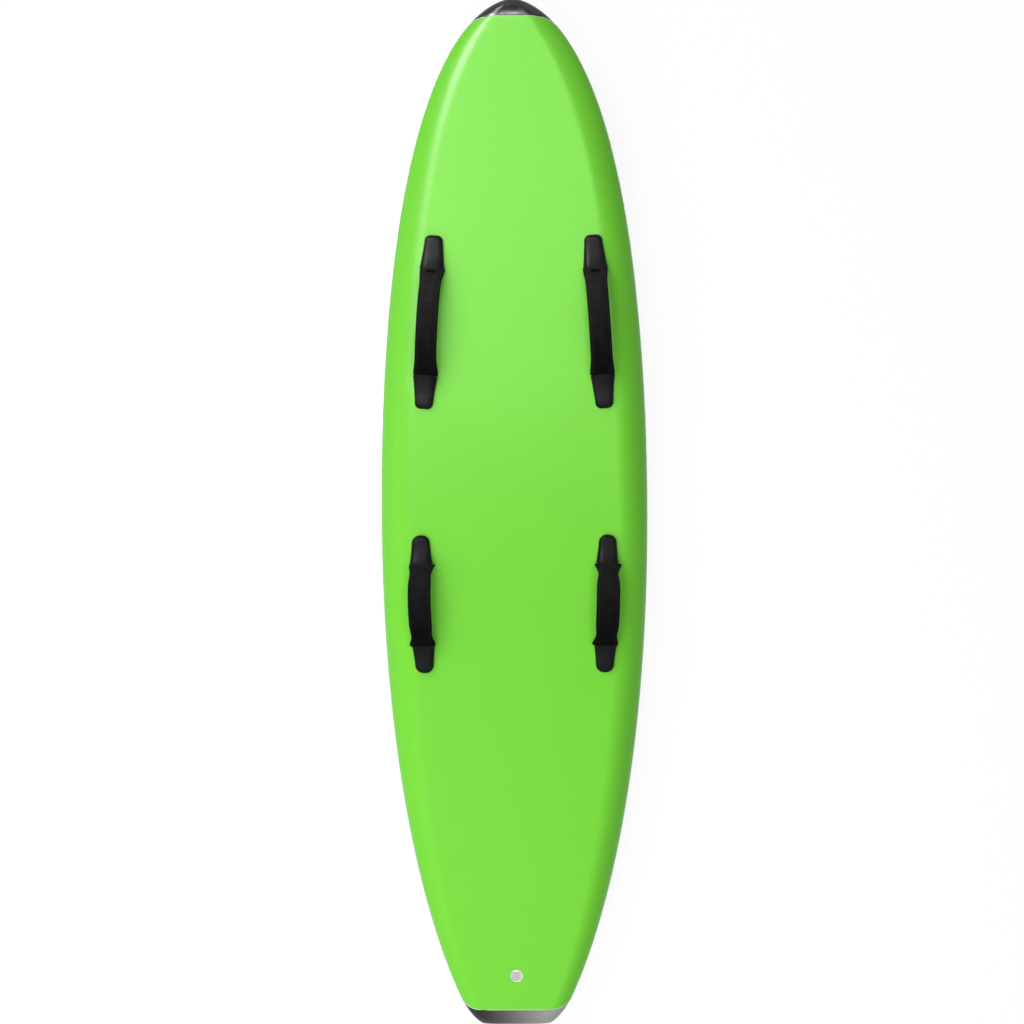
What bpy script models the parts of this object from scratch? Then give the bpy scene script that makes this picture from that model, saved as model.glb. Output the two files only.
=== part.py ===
"""Junior surf paddle board with a soft deck, four strap handles and rubber end bumpers.

Metres, +Z up, nose towards +Y. The board lies on the level part of its bottom, which is at
Z = 0. Mid-length is at Y = 0 and the centreline at X = 0.
"""

import math
from collections import namedtuple

import bmesh
import bpy
from mathutils import Matrix, Vector

# Overall sizes of the board
LENGTH = 1.980
WIDTH = 0.520
THICKNESS = 0.115

# Side view
LEVEL_BOTTOM = 0.500
NOSE_ROCKER = 0.095
TAIL_ROCKER = 0.028
ROCKER_POWER = 2.2
NOSE_THICKNESS = 0.050
TAIL_THICKNESS = 0.048
FOIL_POWER = 2.4

# Plan view: the widest place and the handles of the curves that run from it to both ends
WIDE_POINT = 0.017
NOSE_FULLNESS = 0.971
NOSE_ROUNDNESS = 0.107
TAIL_FULLNESS = 0.572
TAIL_TAPER = 0.132
TAIL_CORNER_WIDTH = 0.209
TAIL_CORNER_SETBACK = 0.045
TAIL_END_WIDTH = 0.120
TAIL_TOE_IN = math.radians(26.1)
CORNER_HANDLE = 0.015

# Cross-section: slightly crowned deck, a shoulder that rounds down to the rail, and a flat bottom.
# The crown and the most that the shoulder takes are shares of the deck's height and half width.
APEX_HEIGHT = 0.48
CROWN = 0.05
SHOULDER_WIDTH = 0.058
SHOULDER_MOST = 0.80
SHOULDER_TAIL_TAPER = 0.50
SHOULDER_TAPER_POWER = 2.5
SHOULDER_POWER = 1.7
RAIL_POWER = 1.6
FLAT_BOTTOM = 0.70
LOWER_RAIL_POWER = 2.5
RAIL_STEPS = 6
LEVEL_INNER = 0.80

# Layers of the board
SKIN = 0.0050
SLICK = 0.0012
WELD_LIP = 0.0010
WELD_LIP_START = 0.95
END_LIP = 0.0022
LAYER_GAP = 0.0003

# Bumpers
NOSE_BUMPER = 0.039
TAIL_BUMPER = 0.036
BUMPER_WING = 0.009
BUMPER_WING_START = 0.74
BUMPER_WING_FADE = 0.060
BUMPER_ROUNDNESS = 2.2
BUMPER_STEPS = 6
BOARD_STEPS = 20
END_CROWDING = 0.70

# Stringers, let into grooves in the bottom of the core
STRINGER_LENGTH = 1.600
STRINGER_SPACING = 0.150
STRINGER_WIDTH = 0.006
STRINGER_HEIGHT = 0.045
STRINGER_GAP = 0.0004

# Tube through the tail
TUBE_SETBACK = 0.102
TUBE_OUTER = 0.0240
TUBE_BORE = 0.0214
TUBE_RECESS = 0.0012
TUBE_LIP = 0.0007
TUBE_GAP = 0.0004
TUBE_SIDES = 20

# Handles: the sizes in which the front and rear pairs differ. A station is a share of the length
# and a spacing a share of the width. Mouth, toe and padding say how much wider than the strap a
# cap's mouth, the inside of its toe and the grip are.
Handle = namedtuple(
    "Handle", "station spacing splay loop cap_length mouth toe toe_round padding ear neck slot"
)
HANDLES = {
    "front": Handle(
        station=0.1884, spacing=0.6231, splay=math.radians(3.7), loop=0.208, cap_length=0.0615,
        mouth=0.0200, toe=0.0036, toe_round=0.0110, padding=0.0185, ear=0.0015, neck=0.0005, slot=True,
    ),
    "rear": Handle(
        station=-0.0838, spacing=0.6731, splay=math.radians(-1.6), loop=0.158, cap_length=0.0530,
        mouth=0.0160, toe=0.0010, toe_round=0.0135, padding=0.0205, ear=0.0022, neck=0.0055, slot=False,
    ),
}
SEAT_GAP = 0.0005
ENDS = ("nose", "tail")

# Webbing strap and the arch that it makes
STRAP_WIDTH = 0.0250
STRAP_THICKNESS = 0.0025
STRAP_TOE_GAP = 0.0010
STRAP_FLAT_ROOM = 0.0030
ARCH_RISE = 0.0230
ARCH_POWER = 2.4
ARCH_STEPS = 12
RAMP_STEPS = 3

# Padded grip
GRIP_THICKNESS = 0.0120
NECK_ROOM = 0.0080
ARCH_NECK = GRIP_THICKNESS / 2 + NECK_ROOM
GRIP_ROUNDNESS = 2.8
GRIP_SIDE_STEPS = 4
GRIP_END_GAP = 0.0022
CHANNEL_GAP = 0.0005
EAR_PLACE = 0.98
EAR_REACH = 0.07
NECK_PLACE = 0.80
NECK_REACH = 0.16
SLOT_LENGTH = 0.0170
SLOT_WIDTH = 0.0050
SLOT_SETBACK = 0.0070
SLOT_STEPS = 4

# End cap
CAP_WALL = 0.0025
CAP_MOUTH_ROOM = 0.0036
CAP_HEAD_ROOM = 0.0017
CAP_RAMP = 0.58
CAP_RAMP_POWER = 1.7
CAP_ROUNDNESS = 3.3
CAP_FLARE_POWER = 1.3
LIP_HEIGHT = 0.0007
LIP_WIDTH = 0.0028
MOUTH_BOW = 0.0012
BOW_FADE = 0.0200
CAP_SIDE_STEPS = 4
CAP_STEPS = 5
CAP_TOE_STEPS = 3

# Screws, washers and inserts
SCREW_EDGE = 0.0075
SCREW_SHANK = 0.0048
SCREW_LENGTH = 0.0320
SCREW_HEAD = 0.0095
SCREW_HEAD_HEIGHT = 0.0028
SCREW_TIP = 0.0040
WASHER_OUTER = 0.0160
WASHER_THICKNESS = 0.0014
INSERT_FLANGE = 0.0260
INSERT_SHANK = 0.0170
INSERT_RIB = 0.0010
INSERT_LENGTH = 0.0380
INSERT_RIBS = 1
INSERT_CHAMFER = 0.0020
INSERT_FLOOR = 0.0030
FIT = 0.0003
FASTENER_SIDES = 10
INSERT_SIDES = 8

# Heights of a cap, over the strap at its mouth and over the screw's head at its toe
CAP_MOUTH_HEIGHT = ARCH_NECK + STRAP_THICKNESS / 2 + CAP_WALL + CAP_MOUTH_ROOM
SCREW_SEAT = STRAP_THICKNESS + WASHER_THICKNESS + 2 * FIT
CAP_TOE_HEIGHT = SCREW_SEAT + SCREW_HEAD_HEIGHT + CAP_WALL + CAP_HEAD_ROOM

# Cutters reach this far past what they cut
OVERCUT = 0.0030
MERGE = 0.00001
SHARP_ANGLE = math.radians(38)

Section = namedtuple("Section", "half_width bottom apex deck")
Station = namedtuple("Station", "y wing fullness")


def clear_scene():
    for thing in list(bpy.data.objects):
        bpy.data.objects.remove(thing)


def material(name, colour, roughness, metallic=0.0):
    made = bpy.data.materials.new(name)
    made.use_nodes = True
    shader = made.node_tree.nodes["Principled BSDF"]
    shader.inputs["Base Color"].default_value = (*colour, 1.0)
    shader.inputs["Roughness"].default_value = roughness
    shader.inputs["Metallic"].default_value = metallic
    made.diffuse_color = (*colour, 1.0)
    return made


def core_foam():
    return material("core_foam", (0.90, 0.90, 0.88), 0.85)


def deck_foam():
    return material("deck_foam", (0.20, 0.72, 0.06), 0.45)


def bottom_sheet():
    return material("bottom_sheet", (0.86, 0.87, 0.87), 0.35)


def stringer_wood():
    return material("stringer_wood", (0.55, 0.38, 0.20), 0.65)


def bumper_rubber():
    return material("bumper_rubber", (0.02, 0.02, 0.02), 0.40)


def tube_plastic():
    return material("tube_plastic", (0.85, 0.86, 0.84), 0.40)


def strap_webbing():
    return material("strap_webbing", (0.015, 0.015, 0.015), 0.80)


def grip_neoprene():
    return material("grip_neoprene", (0.012, 0.012, 0.012), 0.75)


def cap_rubber():
    return material("cap_rubber", (0.025, 0.025, 0.027), 0.55)


def stainless_steel():
    return material("stainless_steel", (0.60, 0.60, 0.60), 0.30, 1.0)


def insert_plastic():
    return material("insert_plastic", (0.05, 0.05, 0.05), 0.50)


def add_object(name, shape, finish, frame=None):
    """Turns a bmesh into a smooth-shaded object, with its faces pointing out."""
    bmesh.ops.remove_doubles(shape, verts=shape.verts, dist=MERGE)
    bmesh.ops.recalc_face_normals(shape, faces=shape.faces)
    mesh = bpy.data.meshes.new(name)
    shape.to_mesh(mesh)
    shape.free()
    mesh.shade_smooth()
    mesh.set_sharp_from_angle(angle=SHARP_ANGLE)
    return place_mesh(name, mesh, finish, frame)


def place_mesh(name, mesh, finish, frame=None):
    made = bpy.data.objects.new(name, mesh)
    if finish and not mesh.materials:
        mesh.materials.append(finish)
    bpy.context.scene.collection.objects.link(made)
    if frame:
        made.matrix_world = frame
    return made


def cut(target, cutter):
    """Takes the cutter's shape out of the target and keeps the cutter out of sight."""
    cutter.hide_render = True
    cutter.display_type = "WIRE"
    hole = target.modifiers.new(cutter.name, "BOOLEAN")
    hole.operation = "DIFFERENCE"
    hole.solver = "EXACT"
    hole.object = cutter


def loft(name, rows, finish, frame=None):
    """Closed solid whose rows each hold an upper and a lower chain with as many points."""
    shape = bmesh.new()
    grid = [[[shape.verts.new(point) for point in chain] for chain in row] for row in rows]

    def patch(a, b, c, d, flip=False):
        if flip:
            shape.faces.new((a, b, d))
            shape.faces.new((b, c, d))
        else:
            shape.faces.new((a, b, c))
            shape.faces.new((a, c, d))

    for row, following in zip(grid, grid[1:]):
        for near, far in zip(row, following):
            for i in range(len(near) - 1):
                right_side = i < len(near) // 2
                patch(near[i], near[i + 1], far[i + 1], far[i], right_side)
        for edge in (0, -1):
            patch(row[0][edge], following[0][edge], following[1][edge], row[1][edge])
    for upper, lower in (grid[0], grid[-1]):
        for i in range(len(upper) - 1):
            left_side = i >= len(upper) // 2
            patch(upper[i], upper[i + 1], lower[i + 1], lower[i], left_side)
    return add_object(name, shape, finish, frame)


def turned_mesh(shape, profile, sides):
    """Adds the solid that a closed profile of (radius, height) points sweeps about Z."""
    rings = []
    for radius, height in profile:
        if radius < MERGE:
            rings.append([shape.verts.new((0, 0, height))] * sides)
            continue
        turns = (2 * math.pi * i / sides for i in range(sides))
        rings.append([
            shape.verts.new((radius * math.cos(turn), radius * math.sin(turn), height)) for turn in turns
        ])
    for ring, following in zip(rings, rings[1:] + rings[:1]):
        for i in range(sides):
            j = (i + 1) % sides
            corners = []
            for corner in (ring[i], ring[j], following[j], following[i]):
                if corner not in corners:
                    corners.append(corner)
            if len(corners) > 2:
                shape.faces.new(corners)


def turned(name, profile, sides, finish, frame=None):
    shape = bmesh.new()
    turned_mesh(shape, profile, sides)
    return add_object(name, shape, finish, frame)


def disc_profile(radius, low, high):
    return [(0, low), (radius, low), (radius, high), (0, high)]


def bezier(ends, share):
    """Point on a cubic curve through ends = (start, handle, handle, end)."""
    left = 1 - share
    weights = (left**3, 3 * left**2 * share, 3 * left * share**2, share**3)
    return tuple(sum(w * p[axis] for w, p in zip(weights, ends)) for axis in (0, 1))


def curve_width(ends, y):
    """Half width where a curve that runs from high Y to low Y crosses y, found by halving."""
    low, high = 0.0, 1.0
    for _ in range(40):
        middle = (low + high) / 2
        if bezier(ends, middle)[1] > y:
            low = middle
        else:
            high = middle
    return bezier(ends, (low + high) / 2)[0]


def outline_curves():
    """Half outline as three curves: nose to wide point, on to the tail corner, and round it."""
    nose_y, tail_y = LENGTH / 2, -LENGTH / 2
    widest = WIDTH / 2 - WELD_LIP
    corner = (TAIL_CORNER_WIDTH / 2, tail_y + TAIL_CORNER_SETBACK)
    inward = (-math.sin(TAIL_TOE_IN), -math.cos(TAIL_TOE_IN))
    tail_reach = WIDE_POINT - corner[1]
    nose_reach = nose_y - WIDE_POINT
    nose = (
        (0, nose_y),
        (NOSE_ROUNDNESS * widest, nose_y),
        (widest, WIDE_POINT + NOSE_FULLNESS * nose_reach),
        (widest, WIDE_POINT),
    )
    tail = (
        (widest, WIDE_POINT),
        (widest, WIDE_POINT - TAIL_FULLNESS * tail_reach),
        tuple(c - TAIL_TAPER * tail_reach * i for c, i in zip(corner, inward)),
        corner,
    )
    rounding = (
        corner,
        tuple(c + CORNER_HANDLE * i for c, i in zip(corner, inward)),
        (TAIL_END_WIDTH / 2 + CORNER_HANDLE, tail_y),
        (TAIL_END_WIDTH / 2, tail_y),
    )
    return nose, tail, rounding


OUTLINE = outline_curves()


def half_width(y):
    nose, tail, rounding = OUTLINE
    if y >= WIDE_POINT:
        return curve_width(nose, y)
    if y >= rounding[0][1]:
        return curve_width(tail, y)
    return curve_width(rounding, y)


def section(y):
    """Width and heights of the cross-section at y."""
    reach = LENGTH / 2
    rocker, end_thickness = (NOSE_ROCKER, NOSE_THICKNESS) if y > 0 else (TAIL_ROCKER, TAIL_THICKNESS)
    beyond_level = max(0.0, abs(y) - LEVEL_BOTTOM / 2) / (reach - LEVEL_BOTTOM / 2)
    bottom = rocker * beyond_level**ROCKER_POWER
    thickness = THICKNESS - (THICKNESS - end_thickness) * (abs(y) / reach) ** FOIL_POWER
    return Section(half_width(y), bottom, bottom + APEX_HEIGHT * thickness, bottom + thickness)


def rounded_height(share, power):
    return max(0.0, 1 - share**power) ** (1 / power)


def curve_point(share, across, height, power, inset):
    """Point of a rounded quarter (across wide, height tall), moved inwards along its normal."""
    x = across * share
    z = height * rounded_height(share, power)
    if not inset:
        return x, z
    slope_x = share ** (power - 1) / across
    slope_z = rounded_height(share, power) ** (power - 1) / height
    steep = math.hypot(slope_x, slope_z)
    return x - inset * slope_x / steep, z - inset * slope_z / steep


def shoulder_share(y, width):
    """Share of the half width that the shoulder takes: less towards the tail, never all of it."""
    taper = SHOULDER_TAIL_TAPER * max(0.0, -y / (LENGTH / 2)) ** SHOULDER_TAPER_POWER
    wide = SHOULDER_WIDTH * (1 - taper)
    return ((width / wide) ** 4 + (1 / SHOULDER_MOST) ** 4) ** -0.25


def deck_curve(share, y, width, height, inset=0.0):
    """Point of the deck side of a section above its apex, moved inwards along its normal."""
    shoulder = shoulder_share(y, width)
    along = max(0.0, 1 - (1 - share) / shoulder)
    fall = max(0.0, 1 - along**SHOULDER_POWER) ** (1 / RAIL_POWER)
    crest = height * (1 - CROWN * share**2)
    x, z = width * share, crest * fall
    if not inset:
        return x, z
    slope_x = crest * SHOULDER_POWER / RAIL_POWER * along ** (SHOULDER_POWER - 1) / shoulder
    slope_x += 2 * CROWN * height * share * fall**RAIL_POWER
    slope_z = width * fall ** (RAIL_POWER - 1)
    steep = math.hypot(slope_x, slope_z)
    return x - inset * slope_x / steep, z - inset * slope_z / steep


def deck_point(station, share, inset=0.0):
    """Point on the deck side, share running from 0 at the centreline to 1 or -1 at a rail."""
    y = station_y(station, share)
    width, _, apex, deck = section(y)
    x, z = deck_curve(abs(share), y, width, (deck - apex) * station.fullness, inset)
    return Vector((math.copysign(x, share), y, apex + z))


def bottom_point(station, share, inset=0.0):
    """Point on the bottom side: level across the middle, then rounded up to the rail."""
    width, bottom, apex, _ = section(station_y(station, share))
    depth = (apex - bottom) * station.fullness
    flat = FLAT_BOTTOM * width
    if abs(share) <= FLAT_BOTTOM:
        return Vector((width * share, station_y(station, share), apex - depth + inset))
    along = (abs(share) - FLAT_BOTTOM) / (1 - FLAT_BOTTOM)
    x, z = curve_point(along, width - flat, depth, LOWER_RAIL_POWER, inset)
    return Vector((math.copysign(flat + x, share), station_y(station, share), apex - z))


def wing_shape(share):
    """How the line between deck and bumper turns back near the rails, from 0 to 1."""
    return max(0.0, (abs(share) - BUMPER_WING_START) / (1 - BUMPER_WING_START)) ** 2


def station_y(station, share):
    return station.y + station.wing * wing_shape(share)


def signed_shares(steps, power):
    """Shares from 1 at the right rail to -1 at the left, closer together where the curve turns."""
    right = [math.sin(math.pi / 2 * i / steps) ** (2 / power) for i in range(steps, 0, -1)]
    return right + [0.0] + [-share for share in reversed(right)]


def chain_shares(station):
    """Shares of a board section's points: closer together on the shoulder, few on the level deck."""
    shoulder = shoulder_share(station.y, section(station.y).half_width)
    turns = [math.pi / 2 * i / RAIL_STEPS for i in range(RAIL_STEPS, -1, -1)]
    right = [1 - shoulder * (1 - math.sin(turn) ** (2 / SHOULDER_POWER)) for turn in turns]
    right.append(LEVEL_INNER * (1 - shoulder))
    return right + [0.0] + [-share for share in reversed(right)]


NOSE_LINE = LENGTH / 2 - NOSE_BUMPER
TAIL_LINE = -LENGTH / 2 + TAIL_BUMPER


def board_station(y):
    """Station of the foam board, which follows the bumper's line more the nearer it is."""
    from_nose = max(0.0, 1 - (NOSE_LINE - y) / BUMPER_WING_FADE)
    from_tail = max(0.0, 1 - (y - TAIL_LINE) / BUMPER_WING_FADE)
    return Station(y, BUMPER_WING * (from_tail**2 - from_nose**2), 1.0)


def board_stations():
    """Stations from tail to nose, closer together towards both ends."""
    middle, reach = (NOSE_LINE + TAIL_LINE) / 2, (NOSE_LINE - TAIL_LINE) / 2
    stations = []
    for i in range(BOARD_STEPS + 1):
        place = -1 + 2 * i / BOARD_STEPS
        eased = (1 - END_CROWDING) * place + END_CROWDING * math.sin(math.pi / 2 * place)
        stations.append(board_station(middle + reach * eased))
    return stations


def bumper_stations(line, reach, towards):
    """Stations of a bumper, closing from the deck's end line to the rim."""
    stations = []
    end_sheet = SLICK + 2 * LAYER_GAP
    for i in range(BUMPER_STEPS + 1):
        turn = math.pi / 2 * i / BUMPER_STEPS
        y = line + towards * (end_sheet + (reach - end_sheet) * math.sin(turn))
        fullness = max(0.0, math.cos(turn)) ** (2 / BUMPER_ROUNDNESS)
        wing = -towards * (BUMPER_WING - END_LIP) * (1 - math.sin(turn))
        stations.append(Station(y, wing, 0.0 if i == BUMPER_STEPS else fullness))
    return stations


def weld_lip(share):
    """How far the bottom sheet's edge stands proud of the rail."""
    return WELD_LIP * max(0.0, (abs(share) - WELD_LIP_START) / (1 - WELD_LIP_START))


def deck_chain(station, inset, lift=0.0):
    chain = []
    for share in chain_shares(station):
        chain.append(deck_point(station, share, inset) + Vector((0, 0, lift * abs(share) ** 8)))
    return chain


def bottom_chain(station, inset):
    return [bottom_point(station, share, inset) for share in chain_shares(station)]


def slick_edge_chain(station):
    return [bottom_point(station, share, -weld_lip(share)) for share in chain_shares(station)]


def make_core(finish):
    rows = [
        (deck_chain(station, SKIN + LAYER_GAP), bottom_chain(station, SLICK + LAYER_GAP))
        for station in board_stations()
    ]
    return loft("foam_core", rows, finish)


def make_skin(finish):
    rows = [
        (deck_chain(station, 0.0, LAYER_GAP), deck_chain(station, SKIN, LAYER_GAP))
        for station in board_stations()
    ]
    return loft("deck_skin", rows, finish)


def sheet_end_rows(line, towards):
    """Rows of the bottom sheet's turned-up end, whose edge shows between deck and bumper."""
    wing = -towards * BUMPER_WING
    near = Station(line + towards * LAYER_GAP, wing, 1.0)
    far = Station(near.y + towards * SLICK, wing + towards * END_LIP, 1.0)
    foot = bottom_chain(near, SLICK)
    foot[0], foot[-1] = deck_point(near, 1.0), deck_point(near, -1.0)
    return [
        (foot, slick_edge_chain(near)),
        (deck_chain(near, 0.0), slick_edge_chain(near)),
        (deck_chain(far, 0.0), bottom_chain(far, 0.0)),
    ]


def make_slick(finish):
    rows = sheet_end_rows(TAIL_LINE, -1)[::-1]
    rows += [(bottom_chain(station, SLICK), slick_edge_chain(station)) for station in board_stations()]
    rows += sheet_end_rows(NOSE_LINE, 1)
    return loft("bottom_slick", rows, finish)


def make_bumper(name, line, reach, towards, finish):
    rows = [
        (deck_chain(station, 0.0), bottom_chain(station, 0.0))
        for station in bumper_stations(line, reach, towards)
    ]
    return loft(name, rows, finish)


def stringer_rows(side, margin, below):
    """Rows of a strip that follows the bottom of the core, or of its groove with a margin."""
    half_length = STRINGER_LENGTH / 2 + margin
    places = [station.y for station in board_stations() if abs(station.y) < half_length - MERGE]
    rows = []
    for y in [-half_length, *places, half_length]:
        foot = section(y).bottom + SLICK + LAYER_GAP
        xs = [side * STRINGER_SPACING / 2 + edge * (STRINGER_WIDTH / 2 + margin) for edge in (1, -1)]
        top = foot + STRINGER_HEIGHT + margin
        rows.append(([Vector((x, y, top)) for x in xs], [Vector((x, y, foot - below)) for x in xs]))
    return rows


def make_stringer(name, side, core, finish):
    groove = loft(f"groove_for_{name}", stringer_rows(side, STRINGER_GAP, OVERCUT), None)
    cut(core, groove)
    return loft(name, stringer_rows(side, 0.0, 0.0), finish)


def make_tube(layers, finish):
    """White tube through the tail, and the hole for it in each layer."""
    y = -LENGTH / 2 + TUBE_SETBACK
    here = section(y)
    low, high = here.bottom + TUBE_RECESS, here.deck - TUBE_RECESS
    outer, bore = TUBE_OUTER / 2, TUBE_BORE / 2
    profile = [
        (bore + TUBE_LIP, low),
        (outer, low),
        (outer, high),
        (bore + TUBE_LIP, high),
        (bore, high - TUBE_LIP),
        (bore, low + TUBE_LIP),
    ]
    frame = Matrix.Translation((0, y, 0))
    through = disc_profile(outer + TUBE_GAP, low - THICKNESS, high + THICKNESS)
    hole = turned("hole_for_tube", through, TUBE_SIDES, None, frame)
    for layer in layers:
        cut(layer, hole)
    return turned("tow_hole_tube", profile, TUBE_SIDES, finish, frame)


def deck_spot(x, y):
    """Point of the deck above (x, y)."""
    here = section(y)
    _, height = deck_curve(abs(x) / here.half_width, y, here.half_width, here.deck - here.apex)
    return Vector((x, y, here.apex + height))


def deck_normal(x, y, step=0.002):
    across = deck_spot(x + step, y) - deck_spot(x - step, y)
    along = deck_spot(x, y + step) - deck_spot(x, y - step)
    return across.cross(along).normalized()


def frame_of(across, along, up, origin):
    return Matrix.Translation(origin) @ Matrix((across, along, up)).transposed().to_4x4()


def cap_frame(handle, side, towards):
    """Frame at a cap's mouth: Y outwards along the handle and Z off the deck."""
    heading = Vector((-side * math.sin(handle.splay), math.cos(handle.splay), 0)) * towards
    middle = Vector((side * handle.spacing * WIDTH / 2, handle.station * LENGTH, 0))
    seat = middle + heading * (handle.loop + handle.cap_length) / 2
    up = deck_normal(seat.x, seat.y)
    along = (heading - up * heading.dot(up)).normalized()
    origin = deck_spot(seat.x, seat.y) - along * handle.cap_length / 2 + up * SEAT_GAP
    return frame_of(along.cross(up), along, up, origin)


def grip_frame(mouths):
    """Frame on the hinge line, half way between the two mouths, with Y towards the nose."""
    nose, tail = (mouth @ Vector((0, 0, ARCH_NECK)) for mouth in mouths)
    along = (nose - tail).normalized()
    mean_up = (mouths[0].col[2] + mouths[1].col[2]).to_3d()
    up = (mean_up - along * mean_up.dot(along)).normalized()
    return frame_of(along.cross(up), along, up, (nose + tail) / 2)


def arch(handle, place):
    """Height of the strap's middle above the hinge line, and its slope, at place along it."""
    share = min(1.0, abs(place) / (handle.loop / 2))
    height = ARCH_RISE * (1 - share**ARCH_POWER)
    slope = -ARCH_RISE * ARCH_POWER * share ** (ARCH_POWER - 1) / (handle.loop / 2)
    return height, slope


def arch_places(handle, margin):
    """Places along the loop, from the nose mouth to the tail mouth, each margin inside it."""
    inner = [handle.loop / 2 * (1 - 2 * i / ARCH_STEPS) for i in range(1, ARCH_STEPS)]
    end = handle.loop / 2 - margin
    return [end, *inner, -end]


def flat_row(frame, half, place, height, thickness):
    """Row of a flat band: two points above and two below its middle line."""
    upper = [frame @ Vector((x, place, height + thickness / 2)) for x in (half, -half)]
    lower = [frame @ Vector((x, place, height - thickness / 2)) for x in (half, -half)]
    return upper, lower


def upright_thickness(thickness, slope):
    """Thickness measured upright of a band that slopes."""
    return thickness * math.hypot(1, slope)


def strap_end(handle):
    """Where a strap ends under its cap, measured in from the mouth."""
    return handle.cap_length - handle.toe_round - STRAP_TOE_GAP


def screw_place(handle):
    return strap_end(handle) - SCREW_EDGE


def ramp_length(handle):
    """How far in from the mouth the strap comes down onto the deck, short of the washer."""
    return screw_place(handle) - WASHER_OUTER / 2 - STRAP_FLAT_ROOM


def ramp(handle, place):
    """Height and slope of the strap's middle under a cap, place being measured in from the mouth."""
    length = ramp_length(handle)
    low = STRAP_THICKNESS / 2
    t = min(1.0, place / length)
    _, mouth_slope = arch(handle, handle.loop / 2)
    height = (
        ARCH_NECK * (2 * t**3 - 3 * t**2 + 1)
        + mouth_slope * length * (t**3 - 2 * t**2 + t)
        + low * (3 * t**2 - 2 * t**3)
    )
    slope = (low - ARCH_NECK) * 6 * t * (1 - t) / length + mouth_slope * (3 * t**2 - 4 * t + 1)
    return height, slope


def strap_end_rows(handle, mouth, half):
    """Rows of one strap end under its cap, from the screwed end to the mouth."""
    places = [strap_end(handle)]
    places += [ramp_length(handle) * i / RAMP_STEPS for i in range(RAMP_STEPS, -1, -1)]
    rows = []
    for place in places:
        height, slope = ramp(handle, place)
        rows.append(flat_row(mouth, half, place, height, upright_thickness(STRAP_THICKNESS, slope)))
    return rows


def strap_rows(handle, mouths, middle):
    """Rows of the whole strap: under the nose cap, over the arch and under the tail cap."""
    half = STRAP_WIDTH / 2
    rows = strap_end_rows(handle, mouths[0], half)
    for place in arch_places(handle, 0.0)[1:-1]:
        height, slope = arch(handle, place)
        rows.append(flat_row(middle, half, place, height, upright_thickness(STRAP_THICKNESS, slope)))
    return rows + strap_end_rows(handle, mouths[1], -half)[::-1]


def make_strap(name, handle, mouths, middle, finish):
    strap = loft(f"strap_{name}", strap_rows(handle, mouths, middle), finish)
    for end, mouth in zip(ENDS, mouths):
        hole = turned(
            f"hole_for_screw_{name}_{end}",
            disc_profile(SCREW_SHANK / 2 + FIT, -OVERCUT, STRAP_THICKNESS + OVERCUT),
            FASTENER_SIDES,
            None,
            screw_frame(handle, mouth),
        )
        cut(strap, hole)
    return strap


def grip_half_width(handle, place):
    """Half width of a grip: ears at its ends, a neck beside them and full width in the middle."""
    share = abs(place) / (handle.loop / 2)
    ear = handle.ear * math.exp(-(((share - EAR_PLACE) / EAR_REACH) ** 2))
    neck = handle.neck * math.exp(-(((share - NECK_PLACE) / NECK_REACH) ** 2))
    return (STRAP_WIDTH + handle.padding + ear - neck) / 2


def grip_rows(handle):
    rows = []
    shares = signed_shares(GRIP_SIDE_STEPS, GRIP_ROUNDNESS)
    for place in arch_places(handle, GRIP_END_GAP):
        height, slope = arch(handle, place)
        half = grip_half_width(handle, place)
        pad = upright_thickness(GRIP_THICKNESS, slope) / 2
        rises = [pad * rounded_height(abs(s), GRIP_ROUNDNESS) for s in shares]
        upper = [Vector((half * s, place, height + rise)) for s, rise in zip(shares, rises)]
        lower = [Vector((half * s, place, height - rise)) for s, rise in zip(shares, rises)]
        rows.append((upper, lower))
    return rows


def channel_rows(handle):
    """Rows of the hollow that the strap runs through."""
    rows = []
    half = STRAP_WIDTH / 2 + CHANNEL_GAP
    end = handle.loop / 2
    for place in [end + OVERCUT, *arch_places(handle, 0.0), -end - OVERCUT]:
        height, slope = arch(handle, place)
        thickness = upright_thickness(STRAP_THICKNESS + 2 * CHANNEL_GAP, slope)
        rows.append(flat_row(Matrix.Identity(4), half, place, height, thickness))
    return rows


def grip_slot(kind, handle):
    """Cutter for the round-ended slot across the top of a grip, near its nose mouth."""
    place = handle.loop / 2 - SLOT_SETBACK
    height, _ = arch(handle, place)
    radius = SLOT_WIDTH / 2
    rows = []
    for i in range(SLOT_STEPS + 1):
        turn = math.pi * (0.5 - i / SLOT_STEPS)
        half = SLOT_LENGTH / 2 - radius + radius * math.cos(turn)
        along = place + radius * math.sin(turn)
        rows.append(flat_row(Matrix.Identity(4), half, along, height + GRIP_THICKNESS / 2, GRIP_THICKNESS))
    return loft(f"{kind}_grip_slot", rows, None)


def grip_mesh(kind, handle, finish):
    grip = loft(f"{kind}_grip_form", grip_rows(handle), finish)
    cutters = [loft(f"{kind}_grip_channel", channel_rows(handle), None)]
    if handle.slot:
        cutters.append(grip_slot(kind, handle))
    return finished_mesh(grip, cutters)


def finished_mesh(form, cutters):
    """Mesh of a form with its cuts made, for copies to share. The form and its cutters go."""
    for cutter in cutters:
        cut(form, cutter)
    bpy.context.view_layer.update()
    graph = bpy.context.evaluated_depsgraph_get()
    mesh = bpy.data.meshes.new_from_object(form.evaluated_get(graph))
    for used in (form, *cutters):
        bpy.data.objects.remove(used)
    return mesh


def cap_height(handle, place):
    """Height of a cap's crest: a ramp down from the mouth, then the level toe."""
    share = max(0.0, 1 - place / (CAP_RAMP * handle.cap_length))
    return CAP_TOE_HEIGHT + (CAP_MOUTH_HEIGHT - CAP_TOE_HEIGHT) * share**CAP_RAMP_POWER


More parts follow.
